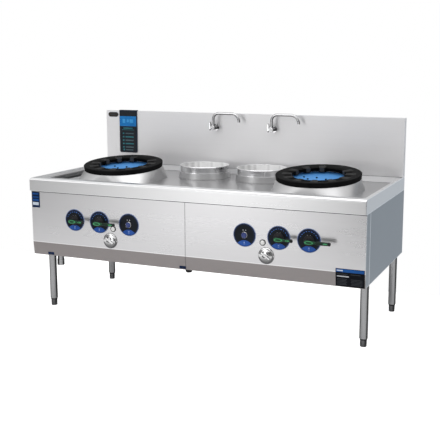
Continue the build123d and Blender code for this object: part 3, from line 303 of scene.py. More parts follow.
# painted reflections: upright light and dark bands on the legs, feet, pots and taps
paintedReflectionBands(tubeSteel, (
    (-180, 0.8), (-100, 0.6), (-70, 0.12), (-42, 0.16), (-18, 0.9), (20, 1.0), (52, 0.85), (62, 0.14),
    (86, 0.10), (100, 0.9), (180, 0.8)))
paintedReflectionBands(footSteel, (
    (-180, 0.8), (-80, 0.3), (-30, 0.4), (-8, 1.0), (24, 1.0), (50, 0.35), (90, 0.3), (180, 0.8)))
paintedReflectionBands(potInside, (
    (-180, 1.0), (-60, 0.8), (-48, 1.0), (-30, 1.0), (-25, 0.82), (-20, 1.0), (2, 1.0), (6, 0.85), (11, 1.0),
    (34, 1.0), (38, 0.78), (46, 0.95), (54, 0.66), (64, 0.85), (72, 0.6), (96, 0.75), (120, 1.0),
    (180, 1.0)), 5.0)
paintedReflectionBands(potSteel, (
    (-180, 0.9), (-60, 0.55), (-45, 0.8), (-35, 1.0), (-12, 1.0), (0, 1.0), (22, 1.0), (28, 1.0), (44, 0.95),
    (50, 1.0), (56, 0.75), (84, 0.55), (104, 0.7), (180, 0.9)), 5.0)
paintedReflectionBands(tapChrome, (
    (-180, 0.9), (-60, 0.15), (-30, 0.25), (-10, 1.0), (30, 1.0), (52, 0.35), (90, 0.15), (180, 0.9)))
# painted shade on the taps' undersides and a painted highlight on their tops
paintedShadeByFacing(tapChrome, ((0.0, 0.08), (0.25, 0.12), (0.42, 1.0), (0.75, 1.0), (0.88, 0.45), (1.0, 0.8)))


ironGrain = {"gritScale": 420.0, "castScale": 38.0, "cloudScale": 7.0, "gritShare": 0.4, "bump": 0.35,
             "bumpHeight": 0.0012}


def castIron(name, dark, light, roughLow, roughHigh, sheen):
    material, tree, shader = newMaterial(name)
    shader.inputs["Metallic"].default_value = 0.0
    shader.inputs["Specular IOR Level"].default_value = sheen
    grit = noiseAt(tree, ironGrain["gritScale"], 5, 0.6)
    cast = noiseAt(tree, ironGrain["castScale"], 4, 0.55)
    cloud = noiseAt(tree, ironGrain["cloudScale"], 3, 0.5)
    tone = mathOf(tree, "ADD", mathOf(tree, "MULTIPLY", cast, 0.5), mathOf(tree, "MULTIPLY", cloud, 0.5))
    tree.links.new(rampOf(tree, tone, ((0.35, dark), (0.65, light))), shader.inputs["Base Color"])
    tree.links.new(rangeOf(tree, cast, 0.3, 0.7, roughLow, roughHigh), shader.inputs["Roughness"])
    relief = mathOf(tree, "ADD", mathOf(tree, "MULTIPLY", grit, ironGrain["gritShare"]), cast)
    bumpOf(tree, shader, relief, ironGrain["bump"], ironGrain["bumpHeight"])
    return material


ringIron = castIron("blackCastIron", (0.005, 0.005, 0.0052), (0.011, 0.011, 0.0115), 0.6, 0.75, 0.03)


def mouldedPlastic(name, dark, light, rough, grainScale=300.0, grainDepth=0.0001, coat=0.0, sheen=0.2):
    material, tree, shader = newMaterial(name)
    grain = noiseAt(tree, grainScale, 4, 0.6)
    cloud = noiseAt(tree, 18.0, 3, 0.5)
    tree.links.new(rampOf(tree, cloud, ((0.35, dark), (0.65, light))), shader.inputs["Base Color"])
    tree.links.new(rangeOf(tree, grain, 0.3, 0.7, rough - 0.05, rough + 0.08), shader.inputs["Roughness"])
    shader.inputs["Coat Weight"].default_value = coat
    shader.inputs["Specular IOR Level"].default_value = sheen
    bumpOf(tree, shader, grain, 0.3, grainDepth)
    return material


blackPlastic = mouldedPlastic("blackMoulding", (0.010, 0.010, 0.011), (0.017, 0.017, 0.019), 0.45,
                              grainScale=260.0, grainDepth=0.0003)
displayPlastic = mouldedPlastic("displayHousing", (0.008, 0.014, 0.028), (0.012, 0.020, 0.038), 0.35,
                                grainScale=260.0, grainDepth=0.0003)
screenGlass = mouldedPlastic("screenWindow", (0.004, 0.008, 0.014), (0.007, 0.011, 0.018), 0.2,
                             grainScale=90.0)
leverGreen = mouldedPlastic("leverGreen", (0.010, 0.055, 0.026), (0.016, 0.075, 0.036), 0.35,
                            grainScale=200.0, grainDepth=0.0002)
buttonBlue = mouldedPlastic("buttonBlue", (0.018, 0.035, 0.15), (0.028, 0.05, 0.20), 0.25, grainScale=200.0,
                            grainDepth=0.0002, coat=0.2, sheen=0.3)
lampWhite = mouldedPlastic("lampLens", (0.80, 0.80, 0.79), (0.9, 0.9, 0.89), 0.25, grainScale=150.0,
                           grainDepth=0.0002, coat=0.4, sheen=0.5)
plateNavy = mouldedPlastic("plateNavy", (0.005, 0.012, 0.045), (0.008, 0.018, 0.06), 0.35)
bowlGlass = mouldedPlastic("bowlGlass", (0.072, 0.255, 0.57), (0.085, 0.275, 0.61), 0.5, grainScale=60.0,
                           sheen=0.3)

# finish by the record's material slot, and the nodes that have a finish of their own
finishOf = {
    "sheet": sheetSteel, "polished": polishedSteel, "cast": ringIron, "tube": tubeSteel,
    "galvanised": innerSteel, "bowl_glass": bowlGlass, "copper": copperWire, "chrome": chromeFinish,
    "plate": plateNavy, "lever": leverGreen, "button": buttonBlue, "lamp": lampWhite,
    "black": blackPlastic, "display": displayPlastic, "screen": screenGlass, "foot": footSteel,
}
ownFinish = {"gutter_trough": troughSteel, "deck_plate": deckSteel}
for side in sides:
    ownFinish[f"side_panel_{side}"] = sideReflectionSteel
    for kind in ("wok_collar", "tail_collar"):
        ownFinish[f"{kind}_{side}"] = collarSteel
    for kind in ("faucet_body", "faucet_spout", "faucet_handle"):
        ownFinish[f"{kind}_{side}"] = tapChrome

for part in record["subparts"]:
    chosen = ownFinish.get(part["node"]) or finishOf[part["material_slot"]]
    materials = nodes[part["node"]].data.materials
    materials.clear()
    materials.append(chosen)
print("materials set")


def editMode(piece, select="SELECT"):
    makeActive(piece)
    bpy.ops.object.mode_set(mode="EDIT")
    bpy.ops.mesh.select_all(action=select)


def objectMode():
    bpy.ops.object.mode_set(mode="OBJECT")


def drawn(name, points):  # a line of edges through the points, drawn by extruding one vertex
    bpy.ops.mesh.primitive_plane_add(size=0.01, location=(0, 0, 0))
    piece = bpy.context.object
    piece.name = name
    editMode(piece)
    bpy.ops.mesh.merge(type="CENTER")
    bpy.ops.transform.translate(value=points[0])
    for start, end in zip(points, points[1:]):
        step = Vector(end) - Vector(start)
        bpy.ops.mesh.extrude_region_move(TRANSFORM_OT_translate={"value": step})
    objectMode()
    return piece


def turned(name, profile, centre, facing="up", steps=64):  # profile: radius and height pairs
    piece = drawn(name, [(radius, 0, height) for radius, height in profile])
    editMode(piece)
    bpy.ops.mesh.spin(steps=steps, angle=math.tau, center=(0, 0, 0), axis=(0, 0, 1))
    bpy.ops.mesh.select_all(action="SELECT")
    bpy.ops.mesh.remove_doubles(threshold=0.000002)
    bpy.ops.mesh.normals_make_consistent(inside=False)
    objectMode()
    turns = {"up": (0, 0, 0), "down": (math.pi, 0, 0), "cook": (math.pi / 2, 0, 0),
             "left": (0, -math.pi / 2, 0), "right": (0, math.pi / 2, 0)}
    piece.rotation_euler = turns[facing]
    piece.location = centre
    settle(piece)
    return piece


def hoop(inner, outer, low, high):  # profile of a flat ring, for turned
    return [(inner, low), (outer, low), (outer, high), (inner, high), (inner, low)]


def prism(name, points, step):  # a closed outline, filled and pulled out
    piece = drawn(name, points)
    editMode(piece)
    bpy.ops.mesh.edge_face_add()
    bpy.ops.mesh.select_all(action="SELECT")
    bpy.ops.mesh.extrude_region_move(TRANSFORM_OT_translate={"value": step})
    bpy.ops.mesh.select_all(action="SELECT")
    bpy.ops.mesh.normals_make_consistent(inside=False)
    objectMode()
    return piece


def plate(name, outline, back, thick):  # outline: x and z pairs, thickness towards the cook
    return prism(name, [(x, back, z) for x, z in outline], (0, -thick, 0))


def bar(name, centre, size, turn=(0, 0, 0)):
    bpy.ops.mesh.primitive_cube_add(size=1, location=centre, rotation=turn, scale=size)
    piece = bpy.context.object
    piece.name = name
    settle(piece)
    return piece


def settle(piece):
    makeActive(piece)
    bpy.ops.object.transform_apply(location=True, rotation=True, scale=True)


def joined(name, pieces):
    deselectAll()
    for piece in pieces:
        piece.select_set(True)
    bpy.context.view_layer.objects.active = pieces[0]
    if len(pieces) > 1:
        bpy.ops.object.join()
    pieces[0].name = name
    return pieces[0]


def middle(nodeName):  # x, y and z of the middle of a node's box
    low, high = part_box(nodeName)
    return (low.x + high.x) / 2, (low.y + high.y) / 2, (low.z + high.z) / 2


def arcPoints(centreX, centreZ, reachX, reachZ, start, sweep, steps):  # pairs on an arc, angles in degrees
    angles = (math.radians(start + sweep * i / steps) for i in range(steps + 1))
    return [(centreX + reachX * math.cos(a), centreZ + reachZ * math.sin(a)) for a in angles]


def flattened(piece, factor, centre):  # squeezes or stretches a finished piece about a point
    editMode(piece)
    bpy.ops.transform.resize(value=factor, center_override=centre)
    objectMode()


def rounded(piece, width, segments=2, angle=32):
    bevel = piece.modifiers.new("edges", "BEVEL")
    bevel.width = width
    bevel.segments = segments
    bevel.limit_method = "ANGLE"
    bevel.angle_limit = math.radians(angle)
    makeActive(piece)
    bpy.ops.object.modifier_apply(modifier="edges")


def evenShading(piece):  # flat faces stay flat next to their rounded edges
    weighted = piece.modifiers.new("shading", "WEIGHTED_NORMAL")
    weighted.keep_sharp = True
    weighted.weight = 90
    makeActive(piece)
    bpy.ops.object.modifier_apply(modifier="shading")


def finish(piece, material, body, slotName, *replaced, smooth=35):
    makeActive(piece)
    if material is not None:
        piece.data.materials.clear()
        piece.data.materials.append(material)
    bpy.ops.object.shade_smooth_by_angle(angle=math.radians(smooth))
    evenShading(piece)
    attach(piece, body)
    if replaced:
        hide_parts(*replaced)
    return piece


def finerCopy(nodeName, pieceName, width, segments=2, angle=40, flat=1.0, welded=False):
    piece = bpy.data.objects.new(pieceName, nodes[nodeName].data.copy())
    bpy.context.scene.collection.objects.link(piece)
    makeActive(piece)
    if piece.data.has_custom_normals:
        bpy.ops.mesh.customdata_custom_splitnormals_clear()
    editMode(piece)
    bpy.ops.mesh.remove_doubles(threshold=0.00001)
    if welded:  # the faces where two lengths meet go, so that the folds run through
        bpy.ops.mesh.select_mode(type="FACE")
        bpy.ops.mesh.select_all(action="DESELECT")
        bpy.ops.mesh.select_interior_faces()
        bpy.ops.mesh.delete(type="FACE")
        bpy.ops.mesh.select_mode(type="VERT")
        bpy.ops.mesh.select_all(action="SELECT")
        bpy.ops.mesh.remove_doubles(threshold=0.00002)
    bpy.ops.mesh.dissolve_limited(angle_limit=math.radians(flat))
    objectMode()
    if width:
        rounded(piece, width, segments, angle)
    return piece


# the folded sheets again, with rounded folds
folds = {
    "worktop": (0.0012, sheetSteel), "backsplash_front": (0.0012, splashSteel),
    "front_panel_left": (0.0012, panelSteel), "front_panel_right": (0.0012, panelSteel),
    "side_panel_left": (0.0012, sideReflectionSteel), "side_panel_right": (0.0012, sideReflectionSteel),
    "corner_post_left": (0.001, sideReflectionSteel), "corner_post_right": (0.001, sideReflectionSteel),
}
for nodeName, (width, material) in folds.items():
    words = nodeName.split("_")
    pieceName = words[0] + "".join(word.capitalize() for word in words[1:]) + "Folded"
    piece = finerCopy(nodeName, pieceName, width, welded=nodeName == "worktop")
    finish(piece, material, "cabinet", "sheet", nodeName)
print("folded sheets done")

# each wok ring is cast with soft edges; blocks in a lighter, painted-lit iron stand on its teeth, and thin black
# discs are painted shade that reads as pits
ring = {
    "edge": 0.0016, "segments": 3, "topHeight": 0.860, "tilt": 5.4, "teeth": 12, "start": 10, "open": 2,
    "blockOuter": 0.206, "blockInner": 0.1496, "outerWidth": 0.046, "innerWidth": 0.028,
    "blockLow": 0.0268, "blockTop": 0.0018, "blockEdge": 0.0022,
    "pitRadius": 0.0042, "pitAt": 0.2245, "pitTall": 0.0003,
    "skirt": ((0.1875, -0.0060), (0.1520, -0.0046), (0.1514, -0.0210), (0.1502, -0.0210), (0.1506, -0.0058),
              (0.1875, -0.0072), (0.1875, -0.0060)),
}
# black for the bowl studs, and for painted shade: the pits and the gaps between the teeth
pitBlack = mouldedPlastic("pitBlack", (0.001, 0.001, 0.001), (0.002, 0.002, 0.002), 0.8, sheen=0.05)
# a lighter copy of the ring's iron for the blocks: painted light on the teeth
toothIron = castIron("toothIron", (0.034, 0.034, 0.035), (0.056, 0.056, 0.057), 0.5, 0.62, 0.10)
# painted shade: the blocks' upward faces darker than their lit sides
paintedShadeByFacing(toothIron, ((0.0, 1.0), (0.75, 1.0), (0.93, 0.16), (1.0, 0.16)))


def tilted(piece, x, y):
    piece.rotation_euler = (math.radians(ring["tilt"]), 0, 0)
    piece.location = (x, y, ring["topHeight"])
    settle(piece)
    return piece


def toothBlock(angle):  # wider at its outer end, tapering to the tooth's tip
    outwards = Vector((math.cos(angle), math.sin(angle), 0))
    across = Vector((-math.sin(angle), math.cos(angle), 0))
    corners = []
    for reach, half in ((ring["blockOuter"], ring["outerWidth"] / 2),
                        (ring["blockInner"], -ring["innerWidth"] / 2)):
        corners += [outwards * reach + across * half, outwards * reach - across * half]
    outline = [(corner.x, corner.y, -ring["blockLow"]) for corner in corners]
    block = prism("block", outline, (0, 0, ring["blockLow"] - ring["blockTop"]))
    rounded(block, ring["blockEdge"], 3, 40)
    return block


def pitDisc(angle):
    radius, tall = ring["pitRadius"], ring["pitTall"]
    place = (ring["pitAt"] * math.cos(angle), ring["pitAt"] * math.sin(angle), 0)
    return turned("pit", [(0, tall), (radius, tall), (radius, 0), (0, 0)], place, "up", 20)


for side in sides:
    name = f"wok_ring_{side}"
    piece = finerCopy(name, f"wokRing_{side}", ring["edge"], ring["segments"], 28)
    finish(piece, ringIron, name, "cast", name)
    x, y = middle(name)[0], middle(f"wok_collar_{side}")[1]
    blocks, pits = [], []
    for step in range(ring["teeth"]):
        angle = math.radians(ring["start"] + 360 * step / ring["teeth"])
        if step != ring["open"]:
            blocks.append(toothBlock(angle))
        pits.append(pitDisc(angle + math.radians(180 / ring["teeth"])))
    finish(tilted(joined(f"{name}_blocks", blocks), x, y), toothIron, name, "cast")
    finish(tilted(joined(f"{name}_pits", pits), x, y), pitBlack, name, "cast")
    skirt = turned(f"{name}_skirt", ring["skirt"], (0, 0, 0), "up", 96)  # a black sheet of painted shade that closes the gaps between the teeth
    finish(tilted(skirt, x, y), pitBlack, name, "cast")


# dark studs on the glass bowls, set on the surface under them
bowlStuds = {
    "places": ((-0.112, 0.082), (-0.046, 0.112), (0.034, 0.086), (0.010, 0.106), (-0.088, 0.076),
               (0.0, -0.128), (0.109, -0.064), (-0.109, -0.064), (0.0, 0.0)),
    "radius": 0.0050, "tall": 0.0050, "sunk": 0.002,
}


def surfaceUnder(nodeName, x, y):
    return nodes[nodeName].ray_cast(Vector((x, y, 1.0)), Vector((0, 0, -1)))[1]


for side in sides:
    name = f"wok_bowl_{side}"
    x, y, z = middle(name)
    radius, tall, sunk = bowlStuds["radius"], bowlStuds["tall"], bowlStuds["sunk"]
    profile = [(0, tall), (radius * 0.7, tall), (radius, tall * 0.8), (radius, -sunk), (0, -sunk)]
    studs = []
    for dx, dy in bowlStuds["places"]:
        stud = turned("stud", profile, (0, 0, 0), "up", 24)
        stud.location = surfaceUnder(name, x + dx, y + dy)
        settle(stud)
        studs.append(stud)
    finish(joined(f"bowlStuds_{side}", studs), pitBlack, "cabinet", "bowl_glass")
print("wok rings done")

pivots = {joint["child"]: joint.get("pos_m") for joint in frame["joints"]}
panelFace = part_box("front_panel_left")[0].y
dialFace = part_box("control_plates")[0].y

# round control plates: a light rim, a navy band, a blue foot, and marks in place of the words
dial = {
    "radius": 0.0612, "rimRadius": 0.0640, "rimThick": 0.0018, "printThick": 0.0002,
    "edgeBand": 0.0545, "arcRadius": 0.0478, "arcFrom": 22, "arcTo": 158, "arcMarks": 9,
    "arcMark": (0.0085, 0.0034), "footTop": -0.0275, "footEnd": (0.0372, -0.0432), "footRadius": 0.0585,
    "whiteRow": 0.0265, "whiteMark": (0.0036, 0.0050),
    "leverDots": ((-0.0085, 1.0), (-0.0035, 0.6), (0.0015, 0.6), (0.0075, 1.0)),
    "buttonDots": ((-0.0075, 1.0), (0.0075, 1.0)),
    "signDrop": 0.0435,
    "signStrokes": ((0.004, 0.010, 0.0020, 0.75), (0.004, 0.010, 0.0020, -0.75),
                    (-0.0045, 0.0085, 0.0016, 0)),
}
leverNames = ["lever_left_outer", "lever_left_inner", "lever_right_inner", "lever_right_outer"]
dialPlaces = [(pivots[name][0], pivots[name][2], True) for name in leverNames]
for side in sides:
    x, y, z = middle(f"button_{side}")
    dialPlaces.append((x, z, False))


def footOutline(x, z):  # the blue field at the foot of a dial, arched at its top
    endX, endZ = dial["footEnd"]
    rise = dial["footTop"] - endZ
    archRadius = (endX**2 + rise**2) / (2 * rise)
    half = math.asin(endX / archRadius)
    archLow = z + dial["footTop"] - archRadius
    arch = [(x + archRadius * math.sin(a), archLow + archRadius * math.cos(a))
            for a in (half - 2 * half * i / 14 for i in range(15))]
    low = math.atan2(endZ, endX)
    sweep = -math.pi - 2 * low
    radius = dial["footRadius"]
    angles = (low + sweep * i / 20 for i in range(21))
    bottom = [(x - radius * math.cos(a), z + radius * math.sin(a)) for a in angles]
    return arch + bottom


def arcMark(x, y, z, count):  # one mark of the blue scale, in three lengths and two widths
    angle = math.radians(dial["arcFrom"] + (dial["arcTo"] - dial["arcFrom"]) * count / (dial["arcMarks"] - 1))
    length, height = dial["arcMark"]
    place = (x + dial["arcRadius"] * math.cos(angle), y, z + dial["arcRadius"] * math.sin(angle))
    wide = height * (0.7 + 0.3 * (count % 2))
    tall = length * (0.75 + 0.25 * ((count * 2) % 3 == 0))
    return bar("mark", place, (wide, dial["printThick"], tall), (0, -angle, 0))


dials, rims, bands, fields, blueMarks, whiteMarks, footMarks = [], [], [], [], [], [], []
for count, (x, z, hasLever) in enumerate(dialPlaces):
    thick, radius, printThick = panelFace - dialFace, dial["radius"], dial["printThick"]
    rimRadius, rimThick = dial["rimRadius"], dial["rimThick"]
    bandInner, bandOuter = dial["edgeBand"], radius - 0.0012
    faceProfile = [(0, thick), (radius - 0.001, thick), (radius, thick - 0.0008), (radius, 0), (0, 0)]
    dials.append(turned(f"dial{count}", faceProfile, (x, panelFace, z), "cook", 72))
    rimProfile = [(radius, 0), (rimRadius, 0), (rimRadius, rimThick - 0.0006), (rimRadius - 0.0008, rimThick),
                  (radius, rimThick), (radius, 0)]
    rims.append(turned(f"rim{count}", rimProfile, (x, panelFace, z), "cook", 72))
    bandProfile = hoop(bandInner, bandOuter, 0, printThick)
    bands.append(turned(f"band{count}", bandProfile, (x, dialFace, z), "cook", 72))
    fields.append(plate(f"foot{count}", footOutline(x, z), dialFace - printThick * 0.2, printThick))
    markY = dialFace - printThick * 1.5
    if hasLever:
        for i in range(dial["arcMarks"]):
            blueMarks.append(arcMark(x, markY, z, i))
    dotWide = dial["whiteMark"][0] * (0.75 if hasLever else 1.1)
    for dx, tall in dial["leverDots"] if hasLever else dial["buttonDots"]:
        dotSize = (dotWide, printThick, dial["whiteMark"][1] * tall)
        whiteMarks.append(bar("spot", (x + dx, markY, z + dial["whiteRow"]), dotSize))
    for dz, wide, tall, turn in dial["signStrokes"]:
        place = (x, markY - 0.0001, z - dial["signDrop"] + dz)
        footMarks.append(bar("glyph", place, (wide, printThick, tall), (0, turn, 0)))

dialBlack = mouldedPlastic("dialBlack", (0.003, 0.005, 0.009), (0.005, 0.008, 0.013), 0.35, sheen=0.15)
dialBlue = mouldedPlastic("dialBlue", (0.012, 0.07, 0.32), (0.02, 0.09, 0.38), 0.35)
dialRim = mouldedPlastic("dialRim", (0.20, 0.27, 0.48), (0.26, 0.33, 0.56), 0.3, coat=0.1, sheen=0.5)
printBlue = mouldedPlastic("printBlue", (0.04, 0.14, 0.52), (0.06, 0.18, 0.6), 0.4)
printWhite = mouldedPlastic("printWhite", (0.5, 0.52, 0.56), (0.62, 0.64, 0.67), 0.4)
printPale = mouldedPlastic("printPale", (0.28, 0.42, 0.75), (0.36, 0.5, 0.85), 0.4)
finish(joined("dialPlates", dials), dialBlack, "cabinet", "plate", "control_plates")
for pieceName, pieces, material in (
        ("dialRims", rims, dialRim), ("dialBands", bands, plateNavy), ("dialFeet", fields, dialBlue),
        ("dialArcMarks", blueMarks, printBlue), ("dialWhiteMarks", whiteMarks, printWhite),
        ("dialFootMarks", footMarks, printPale)):
    finish(joined(pieceName, pieces), material, "cabinet", "plate")
print("dials done")

# levers: a stepped hub, a waisted arm with a raised oval ring, and an oval grip with a cap
lever = {
    "hubRadius": 0.029, "hubThick": 0.011, "hubEdge": 0.0008, "bossRadius": 0.0125,
    "armThick": 0.0128, "armFlush": 0.0012, "armEdge": 0.0032, "headRadius": 0.0115,
    "waist": 0.0062, "waistAt": 0.044, "ovalAt": 0.0145, "ovalStretch": 2.75, "ovalSunk": 0.0023,
    "holeRadius": 0.0042, "pinAt": 0.0005, "pinSunk": 0.0021,
    "gripRadius": 0.0098, "gripFlat": 0.66, "gripEdge": 0.0012, "capLength": 0.011,
    "tipBack": 0.0165, "tipReach": (0.0125, 0.0036), "tipSunk": 0.0040, "tipThick": 0.0039,
}
gripDark = mouldedPlastic("gripDark", (0.004, 0.016, 0.010), (0.007, 0.026, 0.016), 0.35, grainScale=240.0,
                          grainDepth=0.0003)
# pale green for the raised oval, and for the painted highlight on the grip
raisedGreen = mouldedPlastic("raisedGreen", (0.050, 0.28, 0.11), (0.075, 0.36, 0.15), 0.35, grainScale=240.0,
                             grainDepth=0.0002)
for name in leverNames:
    low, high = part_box(name)
    x, z = pivots[name][0], pivots[name][2]
    frontY = low.y
    reach = high.x - x
    hubBack = dialFace - 0.0005
    hubRadius, hubThick, bossRadius = lever["hubRadius"], lever["hubThick"], lever["bossRadius"]
    bossEnd = hubBack - frontY - lever["armThick"] + 0.0004
    hub = turned(f"{name}_hub", [
        (0, 0), (hubRadius, 0), (hubRadius, 0.004), (hubRadius - 0.003, 0.0072), (hubRadius - 0.007, 0.0080),
        (hubRadius - 0.0095, hubThick), (0.0165, hubThick), (0.0145, 0.0175), (bossRadius, 0.021),
        (bossRadius, bossEnd), (0, bossEnd)], (x, hubBack, z), "cook", 56)
    rounded(hub, lever["hubEdge"], 2, 20)
    finish(hub, blackPlastic, name, "lever", name)
    head = arcPoints(x, z, lever["headRadius"], lever["headRadius"], 75, 210, 16)
    waistX, waist = x + lever["waistAt"], lever["waist"]
    neck = [(waistX, z - waist), (waistX + 0.006, z - waist), (waistX + 0.006, z + waist),
            (waistX, z + waist)]
    arm = plate(f"{name}_arm", head + neck, frontY + lever["armThick"], lever["armThick"] - lever["armFlush"])
    rounded(arm, lever["armEdge"], 4, 40)
    finish(arm, leverGreen, name, "lever")
    oval = turned(f"{name}_oval", [
        (0.0058, 0), (0.0084, 0), (0.0084, 0.0018), (0.0079, 0.0022), (0.0063, 0.0022), (0.0058, 0.0018),
        (0.0058, 0)],
        (x + lever["ovalAt"], frontY + lever["ovalSunk"], z), "cook", 48)
    flattened(oval, (lever["ovalStretch"], 1, 1), (x + lever["ovalAt"], frontY, z))
    finish(oval, raisedGreen, name, "lever")
    pin = turned(f"{name}_pin", [
        (0, 0.0004), (0.0028, 0.0004), (0.0028, 0.0012), (lever["holeRadius"], 0.0012),
        (lever["holeRadius"], 0), (0, 0)],
        (x + lever["pinAt"], frontY + lever["pinSunk"], z), "cook", 32)
    finish(pin, blackPlastic, name, "lever")
    gripStart = waistX + 0.002
    gripLength = x + reach - lever["capLength"] - gripStart
    radius = lever["gripRadius"]
    gripCentreY = frontY + radius * lever["gripFlat"]
    grip = turned(f"{name}_grip", [
        (0, 0), (0.0058, 0), (0.0068, 0.002), (radius * 0.93, 0.010), (radius, gripLength * 0.35),
        (radius * 0.98, gripLength * 0.7), (radius * 0.9, gripLength), (0, gripLength)],
        (gripStart, gripCentreY, z), "right", 40)
    flattened(grip, (1, lever["gripFlat"], 1), (gripStart, gripCentreY, z))
    rounded(grip, lever["gripEdge"], 3, 30)
    finish(grip, gripDark, name, "lever")
    # a pale green oval on the grip's front: a painted highlight
    tipX = gripStart + gripLength - lever["tipBack"]
    tip = arcPoints(tipX, z, *lever["tipReach"], 0, 360, 28)[:-1]
    finish(plate(f"{name}_tip", tip, frontY + lever["tipSunk"], lever["tipThick"]), raisedGreen,
           name, "lever")
    capLength = lever["capLength"]
    cap = turned(f"{name}_cap", [
        (0, 0), (radius * 0.94, 0), (radius, 0.0012), (radius, capLength * 0.45),
        (radius * 0.86, capLength * 0.8), (radius * 0.55, capLength), (0, capLength)],
        (gripStart + gripLength - 0.0002, gripCentreY, z), "right", 40)
    flattened(cap, (1, lever["gripFlat"], 1), (gripStart, gripCentreY, z))
    finish(cap, blackPlastic, name, "lever")
print("levers done")

# push buttons in chrome bezels, lamps in black rings, and domed chrome knobs with a bar across
button = {"bezel": 0.0185, "bezelInner": 0.0150, "cap": 0.0145, "capBack": 0.0036}
lamp = {"ring": 0.0165, "ringInner": 0.0128}
knob = {
    "dome": ((0, 0.0105), (0.010, 0.0103), (0.020, 0.0096), (0.030, 0.0083), (0.037, 0.0066),
             (0.0410, 0.0047), (0.0428, 0.0030), (0.0435, 0.0016), (0.0435, 0), (0, 0)),
    "edge": (0.0424, 0.0442, 0.0002, 0.0014),
    "slots": ((-0.017, 0.019, 0.020, 0.0045, -0.3), (0.008, 0.014, 0.014, 0.0040, 1.0),
              (0.014, -0.004, 0.012, 0.0040, 0.9), (-0.012, -0.006, 0.016, 0.0040, 0.4)),
    "slotSunk": 0.0098, "slotDeep": 0.004,
    "arcOuter": 0.0405, "arcInner": 0.0345, "arcFrom": -165, "arcSweep": 170, "arcSunk": 0.0030,
    "arcThick": 0.0044,
    "barLength": 0.060, "barWidth": 0.012, "barTurn": -35, "barSunk": 0.0092, "barThick": 0.0090,
    "barEdge": 0.0030,
}
knobChrome = brushedSteel("knobChrome", (0.70, 0.70, 0.705), (0.78, 0.78, 0.785), 0.10, 0.18,
                          (1, 1, 1), 0.15, 0.3)
# painted shade on the knob's lower half and a painted highlight on its upper half
paintedShadeByFacing(knobChrome, ((0.0, 0.2), (0.42, 0.25), (0.47, 0.6), (0.5, 1.0), (1.0, 1.0)))
# a dark chrome for a crescent on the knob's lower side: painted shade
darkChrome = brushedSteel("darkChrome", (0.10, 0.10, 0.105), (0.16, 0.16, 0.165), 0.15, 0.25,
                          (1, 1, 1), 0.15, 0.3)
bezels, lampRings, lenses = [], [], []
for side in sides:
    x, y, z = middle(f"button_{side}")
    bezel, inner, capRadius = button["bezel"], button["bezelInner"], button["cap"]
    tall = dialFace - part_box(f"button_{side}")[0].y
    bezels.append(turned(f"bezel_{side}", [
        (inner, 0), (bezel, 0), (bezel, 0.003), (bezel - 0.0012, 0.0052), (0.0164, 0.006), (0.0152, 0.0052),
        (inner, 0.003), (inner, 0)], (x, dialFace, z), "cook", 48))
    cap = turned(f"buttonCap_{side}", [
        (0, tall - 0.0006), (0.0085, tall - 0.0004), (0.0125, tall), (0.0141, tall - 0.001),
        (capRadius, tall - 0.0024), (capRadius, button["capBack"]), (0, button["capBack"])],
        (x, dialFace, z), "cook", 48)
    finish(cap, buttonBlue, f"button_{side}", "button", f"button_{side}")
lampX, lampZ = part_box("indicator_lamps")[1].x - lamp["ring"], middle("indicator_lamps")[2]
for side, x in (("left", -lampX), ("right", lampX)):
    outer, inner = lamp["ring"], lamp["ringInner"]
    lampRings.append(turned(f"lampRing_{side}", [
        (inner, 0), (outer, 0), (outer, 0.0024), (outer - 0.001, 0.0038), (0.0140, 0.004),
        (inner, 0.0028), (inner, 0)],
        (x, panelFace, lampZ), "cook", 48))
    lenses.append(turned(f"lens_{side}", [
        (0, 0.0074), (0.005, 0.0070), (0.0090, 0.0058), (0.0118, 0.0042), (0.0127, 0.0024),
        (0.0127, 0), (0, 0)],
        (x, panelFace, lampZ), "cook", 48))
finish(joined("buttonBezels", bezels), chromeFinish, "cabinet", "chrome", "push_switches")
finish(joined("lampRings", lampRings), blackPlastic, "cabinet", "black")
finish(joined("lampLenses", lenses), lampWhite, "cabinet", "lamp", "indicator_lamps", smooth=60)


def barOutline(x, z):  # a bar with round ends, turned about the knob's middle
    turn = math.radians(knob["barTurn"])
    half, wide = knob["barLength"] / 2, knob["barWidth"] / 2
    outline = []
    for end in (1, -1):
        for px, pz in arcPoints(half - wide, 0, wide, wide, -90, 180, 12):
            px, pz = end * px, end * pz
            outline.append((x + px * math.cos(turn) - pz * math.sin(turn),
                            z + px * math.sin(turn) + pz * math.cos(turn)))
    return outline


